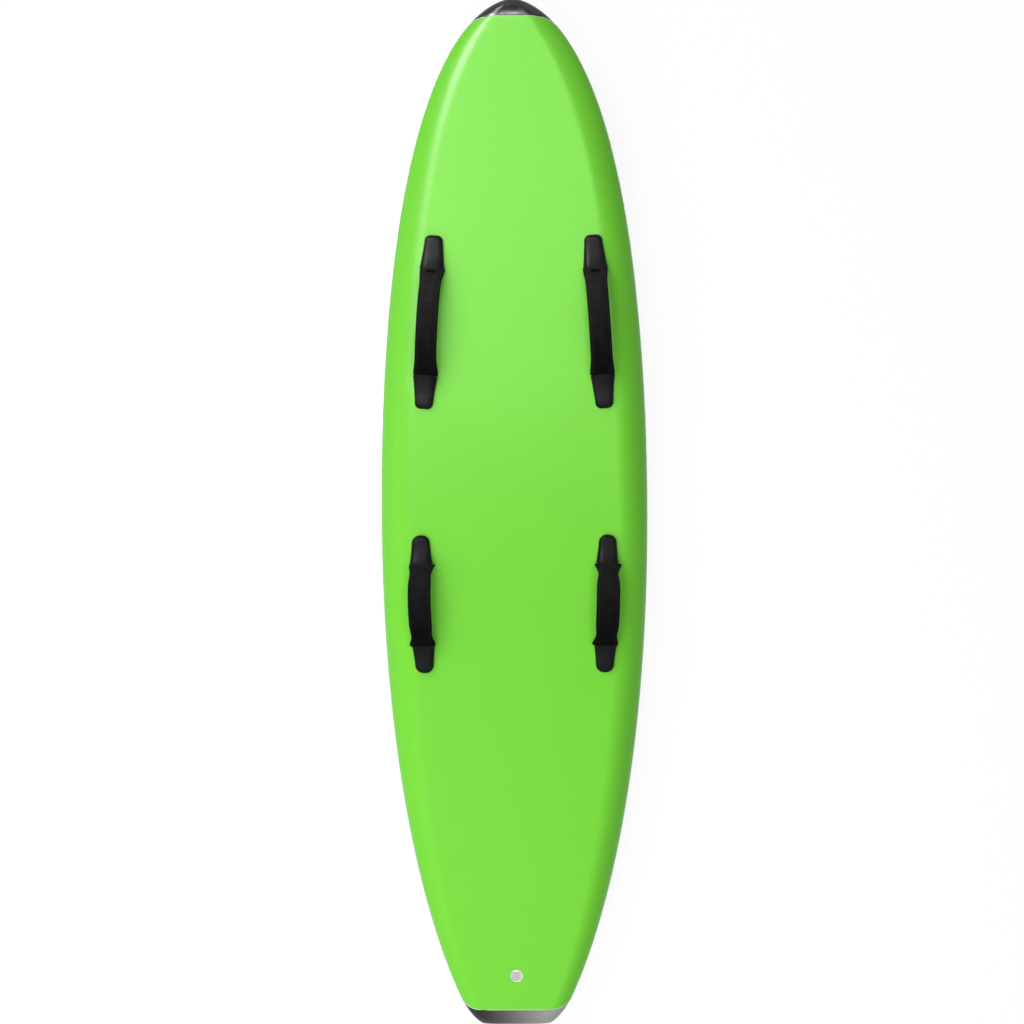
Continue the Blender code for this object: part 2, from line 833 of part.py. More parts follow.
def lip(place):
    """How far the rounded lip at a cap's mouth stands proud."""
    return LIP_HEIGHT * math.sqrt(max(0.0, 1 - (2 * place / LIP_WIDTH - 1) ** 2))


def cap_rows(handle, inset, base):
    """Rows of a cap from mouth to toe, or of its hollow, which has no lip, when they are inset."""
    straight = handle.cap_length - handle.toe_round
    places = [straight * i / CAP_STEPS for i in range(CAP_STEPS + 1)]
    if not inset:
        places[1:1] = [LIP_WIDTH / 2, LIP_WIDTH]
    toe_round = handle.toe_round - inset
    toe = (STRAP_WIDTH + handle.toe) / 2 + CAP_WALL
    flare = (STRAP_WIDTH + handle.mouth) / 2 - toe
    shares = signed_shares(CAP_SIDE_STEPS, CAP_ROUNDNESS)
    outlines = []
    for place in places:
        half = toe + flare * (1 - place / straight) ** CAP_FLARE_POWER
        grow = -inset if inset else lip(place)
        outlines.append((place, half + grow, cap_height(handle, place) + grow))
    for i in range(1, CAP_TOE_STEPS + 1):
        turn = math.pi / 2 * i / CAP_TOE_STEPS
        half = toe - inset - toe_round * (1 - math.cos(turn))
        height = (CAP_TOE_HEIGHT - inset) * max(0.0, math.cos(turn)) ** (2 / CAP_ROUNDNESS)
        outlines.append((straight + toe_round * math.sin(turn), half, height if i < CAP_TOE_STEPS else 0.0))
    if inset:
        outlines.insert(0, (-OVERCUT, *outlines[0][1:]))
    rows = []
    for place, half, height in outlines:
        bow = 0.0 if inset else MOUTH_BOW * max(0.0, 1 - place / BOW_FADE)
        crest = []
        for s in shares:
            up = rounded_height(abs(s), CAP_ROUNDNESS)
            crest.append(Vector((half * s, place - bow * up, height * up)))
        rows.append((crest, [Vector((half * s, place, base)) for s in shares]))
    return rows


def cap_mesh(kind, handle, finish):
    cap = loft(f"{kind}_cap_form", cap_rows(handle, 0.0, 0.0), finish)
    hollow = loft(f"{kind}_cap_hollow", cap_rows(handle, CAP_WALL, -OVERCUT), None)
    return finished_mesh(cap, [hollow])


def screw_frame(handle, mouth):
    return mouth @ Matrix.Translation((0, screw_place(handle), 0))


def washer_mesh(finish):
    low = STRAP_THICKNESS + FIT
    bore = SCREW_SHANK / 2 + FIT
    outer = WASHER_OUTER / 2
    high = low + WASHER_THICKNESS
    profile = [(bore, low), (outer, low), (outer, high), (bore, high)]
    return turned_part("washer", profile, FASTENER_SIDES, finish)


def screw_mesh(finish):
    shank, head = SCREW_SHANK / 2, SCREW_HEAD / 2
    point = SCREW_SEAT - SCREW_LENGTH
    profile = [
        (0, point),
        (shank, point + SCREW_TIP),
        (shank, SCREW_SEAT),
        (head, SCREW_SEAT),
        (head, SCREW_SEAT + SCREW_HEAD_HEIGHT / 2),
        (0, SCREW_SEAT + SCREW_HEAD_HEIGHT),
    ]
    return turned_part("screw", profile, FASTENER_SIDES, finish)


def insert_mesh(finish):
    """Plug with a flange in the skin and ribs in the foam, and a blind bore for the screw."""
    top, foot = -FIT, FIT - SEAT_GAP - SKIN
    end = top - INSERT_LENGTH
    shank, flange, bore = INSERT_SHANK / 2, INSERT_FLANGE / 2, SCREW_SHANK / 2 + FIT
    ribs = []
    for i in range(INSERT_RIBS, 0, -1):
        step = (foot - end) / (INSERT_RIBS + 1)
        low = foot - i * step
        ribs += [(shank, low), (shank + INSERT_RIB, low + INSERT_RIB), (shank, low + step / 2)]
    profile = [
        (0, end),
        (shank - INSERT_CHAMFER, end),
        *ribs,
        (shank, foot),
        (flange, foot),
        (flange, top),
        (bore, top),
        (bore, end + INSERT_FLOOR),
        (0, end + INSERT_FLOOR),
    ]
    return turned_part("insert", profile, INSERT_SIDES, finish)


def turned_part(name, profile, sides, finish):
    """Mesh of a turned piece, for copies to share."""
    return finished_mesh(turned(f"{name}_form", profile, sides, finish), [])


def cut_for_insert(name, core, skin, frame):
    """Seat for an insert: its flange's hole in the skin and its shank's in the core."""
    flange = disc_profile(INSERT_FLANGE / 2 + FIT, -SKIN * 2, SKIN)
    shank = disc_profile(INSERT_SHANK / 2 + INSERT_RIB + FIT, -INSERT_LENGTH - 2 * FIT, SKIN)
    cut(skin, turned(f"flange_hole_{name}", flange, INSERT_SIDES, None, frame))
    cut(core, turned(f"shank_hole_{name}", shank, INSERT_SIDES, None, frame))


def make_handle(name, handle, side, shared, core, skin, webbing):
    """One handle with its fixings; side is -1 on the left and 1 on the right."""
    mouths = [cap_frame(handle, side, towards) for towards in (1, -1)]
    middle = grip_frame(mouths)
    make_strap(name, handle, mouths, middle, webbing)
    place_mesh(f"grip_{name}", shared["grip"], None, middle)
    for end, mouth in zip(ENDS, mouths):
        frame = screw_frame(handle, mouth)
        place_mesh(f"cap_{name}_{end}", shared["cap"], None, mouth)
        for part in ("washer", "screw", "insert"):
            place_mesh(f"{part}_{name}_{end}", shared[part], None, frame)
        cut_for_insert(f"{name}_{end}", core, skin, frame)


def build():
    clear_scene()
    core = make_core(core_foam())
    skin = make_skin(deck_foam())
    slick = make_slick(bottom_sheet())
    wood = stringer_wood()
    for name, side in (("stringer_left", -1), ("stringer_right", 1)):
        make_stringer(name, side, core, wood)
    rubber = bumper_rubber()
    make_bumper("nose_bumper", NOSE_LINE, NOSE_BUMPER, 1, rubber)
    make_bumper("tail_bumper", TAIL_LINE, TAIL_BUMPER, -1, rubber)
    make_tube((core, skin, slick), tube_plastic())
    webbing = strap_webbing()
    neoprene = grip_neoprene()
    moulding = cap_rubber()
    steel = stainless_steel()
    shared = {
        "washer": washer_mesh(steel),
        "screw": screw_mesh(steel),
        "insert": insert_mesh(insert_plastic()),
    }
    for kind, handle in HANDLES.items():
        shared["grip"] = grip_mesh(kind, handle, neoprene)
        shared["cap"] = cap_mesh(kind, handle, moulding)
        for hand, side in (("left", -1), ("right", 1)):
            make_handle(f"{kind}_{hand}", handle, side, shared, core, skin, webbing)


build()
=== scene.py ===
"""Looks of the nipper board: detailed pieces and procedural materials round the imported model.

Metres, +Z up, nose towards +Y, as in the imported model. Shares run from 0 in the middle to 1 at the edge.
"""

import math
from collections import namedtuple
from functools import cache
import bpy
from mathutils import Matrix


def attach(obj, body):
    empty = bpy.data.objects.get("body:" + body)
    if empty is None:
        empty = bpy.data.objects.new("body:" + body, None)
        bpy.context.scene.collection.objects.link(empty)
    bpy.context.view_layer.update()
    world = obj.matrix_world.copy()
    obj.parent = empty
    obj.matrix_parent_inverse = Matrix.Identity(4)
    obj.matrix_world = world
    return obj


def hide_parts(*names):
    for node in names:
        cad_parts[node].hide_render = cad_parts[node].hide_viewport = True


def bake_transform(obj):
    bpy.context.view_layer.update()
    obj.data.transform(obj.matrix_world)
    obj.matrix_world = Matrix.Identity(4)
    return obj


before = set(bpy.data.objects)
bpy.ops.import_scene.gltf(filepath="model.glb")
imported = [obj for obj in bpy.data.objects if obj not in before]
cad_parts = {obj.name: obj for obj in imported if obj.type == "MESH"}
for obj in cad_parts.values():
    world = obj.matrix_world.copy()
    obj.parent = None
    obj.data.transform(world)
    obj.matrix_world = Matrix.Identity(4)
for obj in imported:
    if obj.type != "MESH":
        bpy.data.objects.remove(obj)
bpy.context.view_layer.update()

from types import SimpleNamespace

import bmesh
import bpy
from mathutils import Matrix, Vector

# Board sizes, as in the model; only the shoulder starts a little earlier and more softly
LENGTH = 1.98
WIDTH = 0.52
THICKNESS = 0.115
LEVEL_BOTTOM = 0.5
NOSE_ROCKER = 0.095
TAIL_ROCKER = 0.028
ROCKER_POWER = 2.2
NOSE_THICKNESS = 0.05
TAIL_THICKNESS = 0.048
FOIL_POWER = 2.4
WIDE_POINT = 0.017
NOSE_FULLNESS = 0.971
NOSE_ROUNDNESS = 0.107
TAIL_FULLNESS = 0.572
TAIL_TAPER = 0.132
TAIL_CORNER_WIDTH = 0.209
TAIL_CORNER_SETBACK = 0.045
TAIL_END_WIDTH = 0.12
TAIL_TOE_IN = math.radians(26.1)
CORNER_HANDLE = 0.015
APEX_HEIGHT = 0.48
CROWN = 0.05
SHOULDER_WIDTH = 0.064
SHOULDER_MOST = 0.8
SHOULDER_TAIL_TAPER = 0.5
SHOULDER_TAPER_POWER = 2.5
SHOULDER_POWER = 1.5
SHOULDER_EASE = 0.35
RAIL_POWER = 1.6
FLAT_BOTTOM = 0.7
LOWER_RAIL_POWER = 2.5
SKIN = 0.005
SLICK = 0.0012
WELD_LIP = 0.001
WELD_LIP_START = 0.95
END_LIP = 0.0022
LAYER_GAP = 0.0003
NOSE_BUMPER = 0.039
TAIL_BUMPER = 0.036
BUMPER_WING = 0.009
BUMPER_WING_START = 0.74
BUMPER_WING_FADE = 0.06
BUMPER_ROUNDNESS = 2.2
TUBE_SETBACK = 0.102
TUBE_OUTER = 0.024
TUBE_BORE = 0.0214
TUBE_RECESS = 0.0012
TUBE_GAP = 0.0004
TUBE_JOINT_PLACE = 0.24
TUBE_JOINT = ((0.0, 0.0008), (0.0005, 0.0003), (0.0005, -0.0003), (0.0, -0.0008))
HOLE_ROLL = 0.0016

# Handle sizes, as in the model. The last ones are finer than it: how much longer the rounding of the
# toes is, how far the nose end's toe reaches out, how far its mouth bulges over the sleeve, from
# what width the sleeve's texture follows its side, and its creases as place and depth
HANDLES = {
    "front": SimpleNamespace(
        station=0.1884, spacing=0.6231, splay=math.radians(3.7), loop=0.208, cap_length=0.0615,
        mouth=0.0200, toe=0.0036, toe_round=0.0110, toe_rounder=0.0, toe_reach=0.0022,
        nose_bow=0.0012, side_start=0.0185, slot=True, creases=((-0.62, 0.00025), (0.70, 0.00020)),
    ),
    "rear": SimpleNamespace(
        station=-0.0838, spacing=0.6731, splay=math.radians(-1.6), loop=0.158, cap_length=0.0530,
        mouth=0.0160, toe=0.0030, toe_round=0.0135, toe_rounder=0.0016, toe_reach=0.0,
        nose_bow=0.0030, side_start=0.0205, slot=False,
        creases=((-0.05, 0.0008), (-0.14, 0.0008), (-0.23, 0.0008), (-0.32, 0.0008), (-0.41, 0.0006)),
    ),
}
SEAT_GAP = 0.0005
STRAP_WIDTH = 0.025
STRAP_THICKNESS = 0.0025
STRAP_TOE_GAP = 0.001
STRAP_FLAT_ROOM = 0.003
ARCH_RISE = 0.023
ARCH_POWER = 2.4
GRIP_THICKNESS = 0.012
NECK_ROOM = 0.008
ARCH_NECK = GRIP_THICKNESS / 2 + NECK_ROOM
GRIP_ROUNDNESS = 2.8
GRIP_END_GAP = 0.0022
CHANNEL_GAP = 0.0005
NECK_REACH = 0.16
HEM_REACH = 0.0015
HEM_SQUEEZE = 0.16
SEAM_SHARE = 0.78
SEAM_REACH = 0.035
SEAM_DEPTH = 0.0007
CREASE_REACH = 0.012
LEAST_RISE = 0.002
STITCH_PITCH = 0.0034
STITCH_LENGTH = 0.0025
STITCH_RADIUS = 0.00035
STITCH_MARGIN = 0.004
STITCH_LIFT = 0.0001
STITCH_FORM = ((-1.0, 0.35), (-0.8, 0.8), (-0.4, 1.0), (0.4, 1.0), (0.8, 0.8), (1.0, 0.35))
SLOT_LENGTH = 0.017
SLOT_WIDTH = 0.0066
SLOT_SETBACK = 0.011
SLOT_ROLL = 0.0006
CAP_WALL = 0.0025
CAP_MOUTH_ROOM = 0.0036
CAP_HEAD_ROOM = 0.0017
CAP_RAMP = 0.58
CAP_RAMP_POWER = 1.7
CAP_ROUNDNESS = 3.3
CAP_FLARE_POWER = 1.3
CAP_SINK = 0.0002
TOE_STEPS = 22
LIP_STEPS = 12
CUTTER_REACH = 0.003
CUTTER_DEPTH = 0.004
LIP_HEIGHT = 0.0007
LIP_WIDTH = 0.0028
MOUTH_BOW = 0.0012
BOW_FADE = 0.02
SCREW_EDGE = 0.0075
SCREW_SHANK = 0.0048
SCREW_HEAD_HEIGHT = 0.0028
WASHER_OUTER = 0.016
WASHER_THICKNESS = 0.0014
INSERT_FLANGE = 0.026
FIT = 0.0003
CAP_MOUTH_HEIGHT = ARCH_NECK + STRAP_THICKNESS / 2 + CAP_WALL + CAP_MOUTH_ROOM
SCREW_SEAT = STRAP_THICKNESS + WASHER_THICKNESS + 2 * FIT
CAP_TOE_HEIGHT = SCREW_SEAT + SCREW_HEAD_HEIGHT + CAP_WALL + CAP_HEAD_ROOM

# Shares of the half width up to which the deck's ends hide the bottom sheet's turned-up ends
COVER_FULL = 0.5
COVER_END = 0.8

# Outline of the sleeves, finer than the model's: ears at the mouths and necks beside them, in
# metres of width, at shares of the half loop, the bow of the middle away from the centreline,
# how far the ears at the nose and tail ends sit towards +X, and what the nose end's ear and neck add
Sleeve = namedtuple(
    "Sleeve", "padding ear ear_place ear_reach neck neck_place bow nose_shift tail_shift nose_ear nose_neck"
)
SLEEVES = {
    "front_left": Sleeve(0.0162, 0.0062, 0.98, 0.19, 0.0002, 0.72, 0.0016, 0.0020, 0.0008, 0.0, 0.0),
    "front_right": Sleeve(0.0166, 0.0060, 0.98, 0.19, 0.0002, 0.72, 0.0000, 0.0003, 0.0002, 0.0, 0.0),
    "rear_left": Sleeve(0.0186, 0.0070, 0.98, 0.14, 0.0040, 0.74, 0.0052, 0.0016, -0.0030, 0.0, -0.0012),
    "rear_right": Sleeve(0.0194, 0.0062, 0.98, 0.14, 0.0046, 0.74, 0.0011, 0.0006, -0.0020, 0.0026, 0.0018),
}
SIDE_BOW_POWER = 2.5
SHIFT_POWER = 4.5

# How much wider than the model's the caps are away from the centreline and towards it
CAP_SIDES = {
    "front_left_nose": (0.0016, 0.0008),
    "front_left_tail": (0.0015, 0.0002),
    "front_right_nose": (0.0027, -0.0009),
    "front_right_tail": (0.0021, -0.0010),
    "rear_left_nose": (0.0027, -0.0008),
    "rear_left_tail": (0.0037, -0.0010),
    "rear_right_nose": (0.0006, 0.0006),
    "rear_right_tail": (0.0014, 0.0006),
}

# Fineness of the pieces made here
SHOULDER_STEPS = 26
LEVEL_STEPS = 12
DECK_STATIONS = 150
BUMPER_STATIONS = 28
CAP_SHARE_STEPS = 18
CAP_STATIONS = 44
GRIP_SHARE_STEPS = 16
GRIP_STATIONS = 120
STRAP_STATIONS = 40
ROUND = 64
MERGE = 0.000005
SMOOTH_ANGLE = 40

Section = namedtuple("Section", "half_width bottom apex deck")
Station = namedtuple("Station", "y wing fullness")


# The board's form, from the same formulas as the model


def bezier(ends, share):
    left = 1 - share
    weights = (left**3, 3 * left**2 * share, 3 * left * share**2, share**3)
    return tuple(sum(w * p[axis] for w, p in zip(weights, ends)) for axis in (0, 1))


def curve_width(ends, y):
    low, high = 0.0, 1.0
    for _ in range(40):
        middle = (low + high) / 2
        if bezier(ends, middle)[1] > y:
            low = middle
        else:
            high = middle
    return bezier(ends, (low + high) / 2)[0]


def outline_curves():
    """Half outline as three curves: nose, tail and the tail's corner."""
    nose_y, tail_y = LENGTH / 2, -LENGTH / 2
    widest = WIDTH / 2 - WELD_LIP
    corner = (TAIL_CORNER_WIDTH / 2, tail_y + TAIL_CORNER_SETBACK)
    inward = (-math.sin(TAIL_TOE_IN), -math.cos(TAIL_TOE_IN))
    tail_reach = WIDE_POINT - corner[1]
    nose_reach = nose_y - WIDE_POINT
    nose = (
        (0, nose_y),
        (NOSE_ROUNDNESS * widest, nose_y),
        (widest, WIDE_POINT + NOSE_FULLNESS * nose_reach),
        (widest, WIDE_POINT),
    )
    tail = (
        (widest, WIDE_POINT),
        (widest, WIDE_POINT - TAIL_FULLNESS * tail_reach),
        tuple(c - TAIL_TAPER * tail_reach * i for c, i in zip(corner, inward)),
        corner,
    )
    rounding = (
        corner,
        tuple(c + CORNER_HANDLE * i for c, i in zip(corner, inward)),
        (TAIL_END_WIDTH / 2 + CORNER_HANDLE, tail_y),
        (TAIL_END_WIDTH / 2, tail_y),
    )
    return nose, tail, rounding


OUTLINE = outline_curves()


@cache
def half_width(y):
    nose, tail, rounding = OUTLINE
    if y >= WIDE_POINT:
        return curve_width(nose, y)
    if y >= rounding[0][1]:
        return curve_width(tail, y)
    return curve_width(rounding, y)


@cache
def section(y):
    reach = LENGTH / 2
    rocker, end_thickness = (NOSE_ROCKER, NOSE_THICKNESS) if y > 0 else (TAIL_ROCKER, TAIL_THICKNESS)
    beyond_level = max(0.0, abs(y) - LEVEL_BOTTOM / 2) / (reach - LEVEL_BOTTOM / 2)
    bottom = rocker * beyond_level**ROCKER_POWER
    thickness = THICKNESS - (THICKNESS - end_thickness) * (abs(y) / reach) ** FOIL_POWER
    return Section(half_width(y), bottom, bottom + APEX_HEIGHT * thickness, bottom + thickness)


def arc(steps, start, end):
    """(cosine, sine) at even steps of a turn, both ends included."""
    turns = (start + (end - start) * i / steps for i in range(steps + 1))
    return [(math.cos(turn), math.sin(turn)) for turn in turns]


def circle(sides):
    return arc(sides, 0, 2 * math.pi)[:-1]


def rounded_height(share, power):
    return max(0.0, 1 - share**power) ** (1 / power)


def moved_in(x, z, slope_x, slope_z, inset):
    """Point of a curve moved inwards, square to it."""
    steep = math.hypot(slope_x, slope_z)
    return x - inset * slope_x / steep, z - inset * slope_z / steep


def share_beyond(start, share):
    """0 up to the start, then rising to 1 at the edge."""
    return max(0.0, (abs(share) - start) / (1 - start))


def station_y(station, share):
    return station.y + station.wing * share_beyond(BUMPER_WING_START, share) ** 2


def shoulder_share(y, width):
    taper = SHOULDER_TAIL_TAPER * max(0.0, -y / (LENGTH / 2)) ** SHOULDER_TAPER_POWER
    wide = SHOULDER_WIDTH * (1 - taper)
    return ((width / wide) ** 4 + (1 / SHOULDER_MOST) ** 4) ** -0.25


def deck_curve(share, y, width, height, inset=0.0):
    shoulder = shoulder_share(y, width)
    start = max(0.0, 1 - (1 - share) / shoulder)
    along = (1 + SHOULDER_EASE) * start**2 / (start + SHOULDER_EASE)
    fall = max(0.0, 1 - along**SHOULDER_POWER) ** (1 / RAIL_POWER)
    crest = height * (1 - CROWN * share**2)
    x, z = width * share, crest * fall
    if not inset:
        return x, z
    eased = (1 + SHOULDER_EASE) * start * (start + 2 * SHOULDER_EASE) / (start + SHOULDER_EASE) ** 2
    slope_x = crest * SHOULDER_POWER / RAIL_POWER * along ** (SHOULDER_POWER - 1) * eased / shoulder
    slope_x += 2 * CROWN * height * share * fall**RAIL_POWER
    slope_z = width * fall ** (RAIL_POWER - 1)
    return moved_in(x, z, slope_x, slope_z, inset)


def deck_point(station, share, inset=0.0):
    y = station_y(station, share)
    width, _, apex, deck = section(y)
    x, z = deck_curve(abs(share), y, width, (deck - apex) * station.fullness, inset)
    return Vector((math.copysign(x, share), y, apex + z))


def bottom_point(station, share, inset=0.0):
    y = station_y(station, share)
    width, bottom, apex, _ = section(y)
    depth = (apex - bottom) * station.fullness
    flat = FLAT_BOTTOM * width
    if abs(share) <= FLAT_BOTTOM:
        return Vector((width * share, y, apex - depth + inset))
    along = share_beyond(FLAT_BOTTOM, share)
    rounded = rounded_height(along, LOWER_RAIL_POWER)
    x, z = (width - flat) * along, depth * rounded
    if inset:
        power = LOWER_RAIL_POWER - 1
        x, z = moved_in(x, z, along**power / (width - flat), rounded**power / depth, inset)
    return Vector((math.copysign(flat + x, share), y, apex - z))


def signed_shares(steps, power):
    right = [math.sin(math.pi / 2 * i / steps) ** (2 / power) for i in range(steps, 0, -1)]
    return right + [0.0] + [-share for share in reversed(right)]


@cache
def chain_shares(y):
    shoulder = shoulder_share(y, section(y).half_width)
    turns = [math.pi / 2 * i / SHOULDER_STEPS for i in range(SHOULDER_STEPS, -1, -1)]
    right = [1 - shoulder * (1 - math.sin(turn) ** (2 / SHOULDER_POWER)) for turn in turns]
    right += [(1 - shoulder) * i / LEVEL_STEPS for i in range(LEVEL_STEPS - 1, 0, -1)]
    return tuple(right) + (0.0,) + tuple(-share for share in reversed(right))


# Where the deck ends at the bumpers, and over what length its colour turns paler at its ends, as a painted
# highlight on the ends' edges
NOSE_LINE = LENGTH / 2 - NOSE_BUMPER
TAIL_LINE = -LENGTH / 2 + TAIL_BUMPER
END_HIGHLIGHT_FADE = 0.0006


def board_station(y):
    from_nose = max(0.0, 1 - (NOSE_LINE - y) / BUMPER_WING_FADE)
    from_tail = max(0.0, 1 - (y - TAIL_LINE) / BUMPER_WING_FADE)
    return Station(y, BUMPER_WING * (from_tail**2 - from_nose**2), 1.0)


def board_stations():
    middle, reach = (NOSE_LINE + TAIL_LINE) / 2, (NOSE_LINE - TAIL_LINE) / 2
    stations = []
    for i in range(DECK_STATIONS + 1):
        place = -1 + 2 * i / DECK_STATIONS
        eased = 0.3 * place + 0.7 * math.sin(math.pi / 2 * place)
        stations.append(board_station(middle + reach * eased))
    return stations


def bumper_stations(line, reach, towards):
    stations = []
    end_sheet = SLICK + 2 * LAYER_GAP
    for cosine, sine in arc(BUMPER_STATIONS, 0, math.pi / 2):
        y = line + towards * (end_sheet + (reach - end_sheet) * sine)
        wing = -towards * (BUMPER_WING - END_LIP) * (1 - sine)
        stations.append(Station(y, wing, max(0.0, cosine) ** (2 / BUMPER_ROUNDNESS)))
    stations[-1] = stations[-1]._replace(fullness=0.0)
    return stations


def deck_chain(station, inset, lift=0.0):
    shares = chain_shares(station.y)
    return [deck_point(station, s, inset) + Vector((0, 0, lift * abs(s) ** 8)) for s in shares]


def bottom_chain(station, inset):
    return [bottom_point(station, share, inset) for share in chain_shares(station.y)]


def slick_edge_chain(station):
    """Bottom chain whose edge stands out as the welded lip."""
    shares = chain_shares(station.y)
    return [bottom_point(station, s, -WELD_LIP * share_beyond(WELD_LIP_START, s)) for s in shares]


def deck_spot(x, y):
    here = section(round(y, 7))
    share = min(1.0, abs(x) / here.half_width)
    _, height = deck_curve(share, y, here.half_width, here.deck - here.apex)
    return Vector((x, y, here.apex + height))


def deck_normal(x, y, step=0.002):
    across = deck_spot(x + step, y) - deck_spot(x - step, y)
    along = deck_spot(x, y + step) - deck_spot(x, y - step)
    return across.cross(along).normalized()


# Mesh helpers


def shade(mesh, angle=SMOOTH_ANGLE):
    mesh.shade_smooth()
    mesh.set_sharp_from_angle(angle=math.radians(angle))


def add_object(name, data):
    made = bpy.data.objects.new(name, data)
    bpy.context.scene.collection.objects.link(made)
    return made


def finish_mesh(name, shape, finishes, smooth_angle=SMOOTH_ANGLE):
    bmesh.ops.remove_doubles(shape, verts=shape.verts, dist=MERGE)
    bmesh.ops.dissolve_degenerate(shape, edges=shape.edges, dist=MERGE)
    bmesh.ops.recalc_face_normals(shape, faces=shape.faces)
    mesh = bpy.data.meshes.new(name)
    shape.to_mesh(mesh)
    shape.free()
    shade(mesh, smooth_angle)
    for finish in finishes:
        mesh.materials.append(finish)
    return add_object(name, mesh)


def bridge(shape, ring, following):
    """Joins two closed rings of points with quads."""
    for i in range(len(ring)):
        j = (i + 1) % len(ring)
        shape.faces.new((ring[i], ring[j], following[j], following[i]))


def close_rings(shape, rings):
    """Joins rings in turn and closes both ends."""
    for ring, following in zip(rings, rings[1:]):
        bridge(shape, ring, following)
    for end in (rings[0], rings[-1]):
        shape.faces.new(end)


def loft(name, rows, finish):
    """Closed solid of quads whose rows each hold an upper and a lower chain with as many points."""
    shape = bmesh.new()
    grid = [[[shape.verts.new(point) for point in chain] for chain in row] for row in rows]
    for row, following in zip(grid, grid[1:]):
        for near, far in zip(row, following):
            for i in range(len(near) - 1):
                shape.faces.new((near[i], near[i + 1], far[i + 1], far[i]))
        for edge in (0, -1):
            shape.faces.new((row[0][edge], following[0][edge], following[1][edge], row[1][edge]))
    for upper, lower in (grid[0], grid[-1]):
        for i in range(len(upper) - 1):
            shape.faces.new((upper[i], upper[i + 1], lower[i + 1], lower[i]))
    return finish_mesh(name, shape, [finish])


def turned(name, profile, finish, frame_matrix, sides=ROUND):
    """Solid that a closed profile of (radius, height) points sweeps about Z."""
    shape = bmesh.new()
    rings = []
    for radius, height in profile:
        if radius < MERGE:
            rings.append([shape.verts.new((0, 0, height))] * sides)
            continue
        rings.append([shape.verts.new((radius * x, radius * y, height)) for x, y in circle(sides)])
    for ring, following in zip(rings, rings[1:] + rings[:1]):
        for i in range(sides):
            j = (i + 1) % sides
            corners = dict.fromkeys((ring[i], ring[j], following[j], following[i]))
            if len(corners) > 2:
                shape.faces.new(tuple(corners))
    bmesh.ops.transform(shape, matrix=frame_matrix, verts=shape.verts)
    return finish_mesh(name, shape, [finish] if finish else [])


def soften_edges(piece, width, segments=2, angle=50):
    bevel = piece.modifiers.new("edges", "BEVEL")
    bevel.width = width
    bevel.segments = segments
    bevel.limit_method = "ANGLE"
    bevel.angle_limit = math.radians(angle)
    bevel.miter_outer = "MITER_ARC"


def cut(piece, *cutters):
    for cutter in cutters:
        hole = piece.modifiers.new(cutter.name, "BOOLEAN")
        hole.operation = "DIFFERENCE"
        hole.solver = "EXACT"
        hole.object = cutter


def apply_modifiers(piece, cutters=()):
    bpy.context.view_layer.update()
    graph = bpy.context.evaluated_depsgraph_get()
    mesh = bpy.data.meshes.new_from_object(piece.evaluated_get(graph))
    old = piece.data
    piece.modifiers.clear()
    piece.data = mesh
    mesh.name = piece.name
    bpy.data.meshes.remove(old)
    shade(mesh)
    for cutter in cutters:
        bpy.data.objects.remove(cutter)
    return piece


def move_to(piece, matrix):
    piece.matrix_world = matrix
    bpy.context.view_layer.update()


def place_on(piece, body, slot, *nodes):
    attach(piece, body)
    if nodes:
        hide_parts(*nodes)
    return piece


# Materials


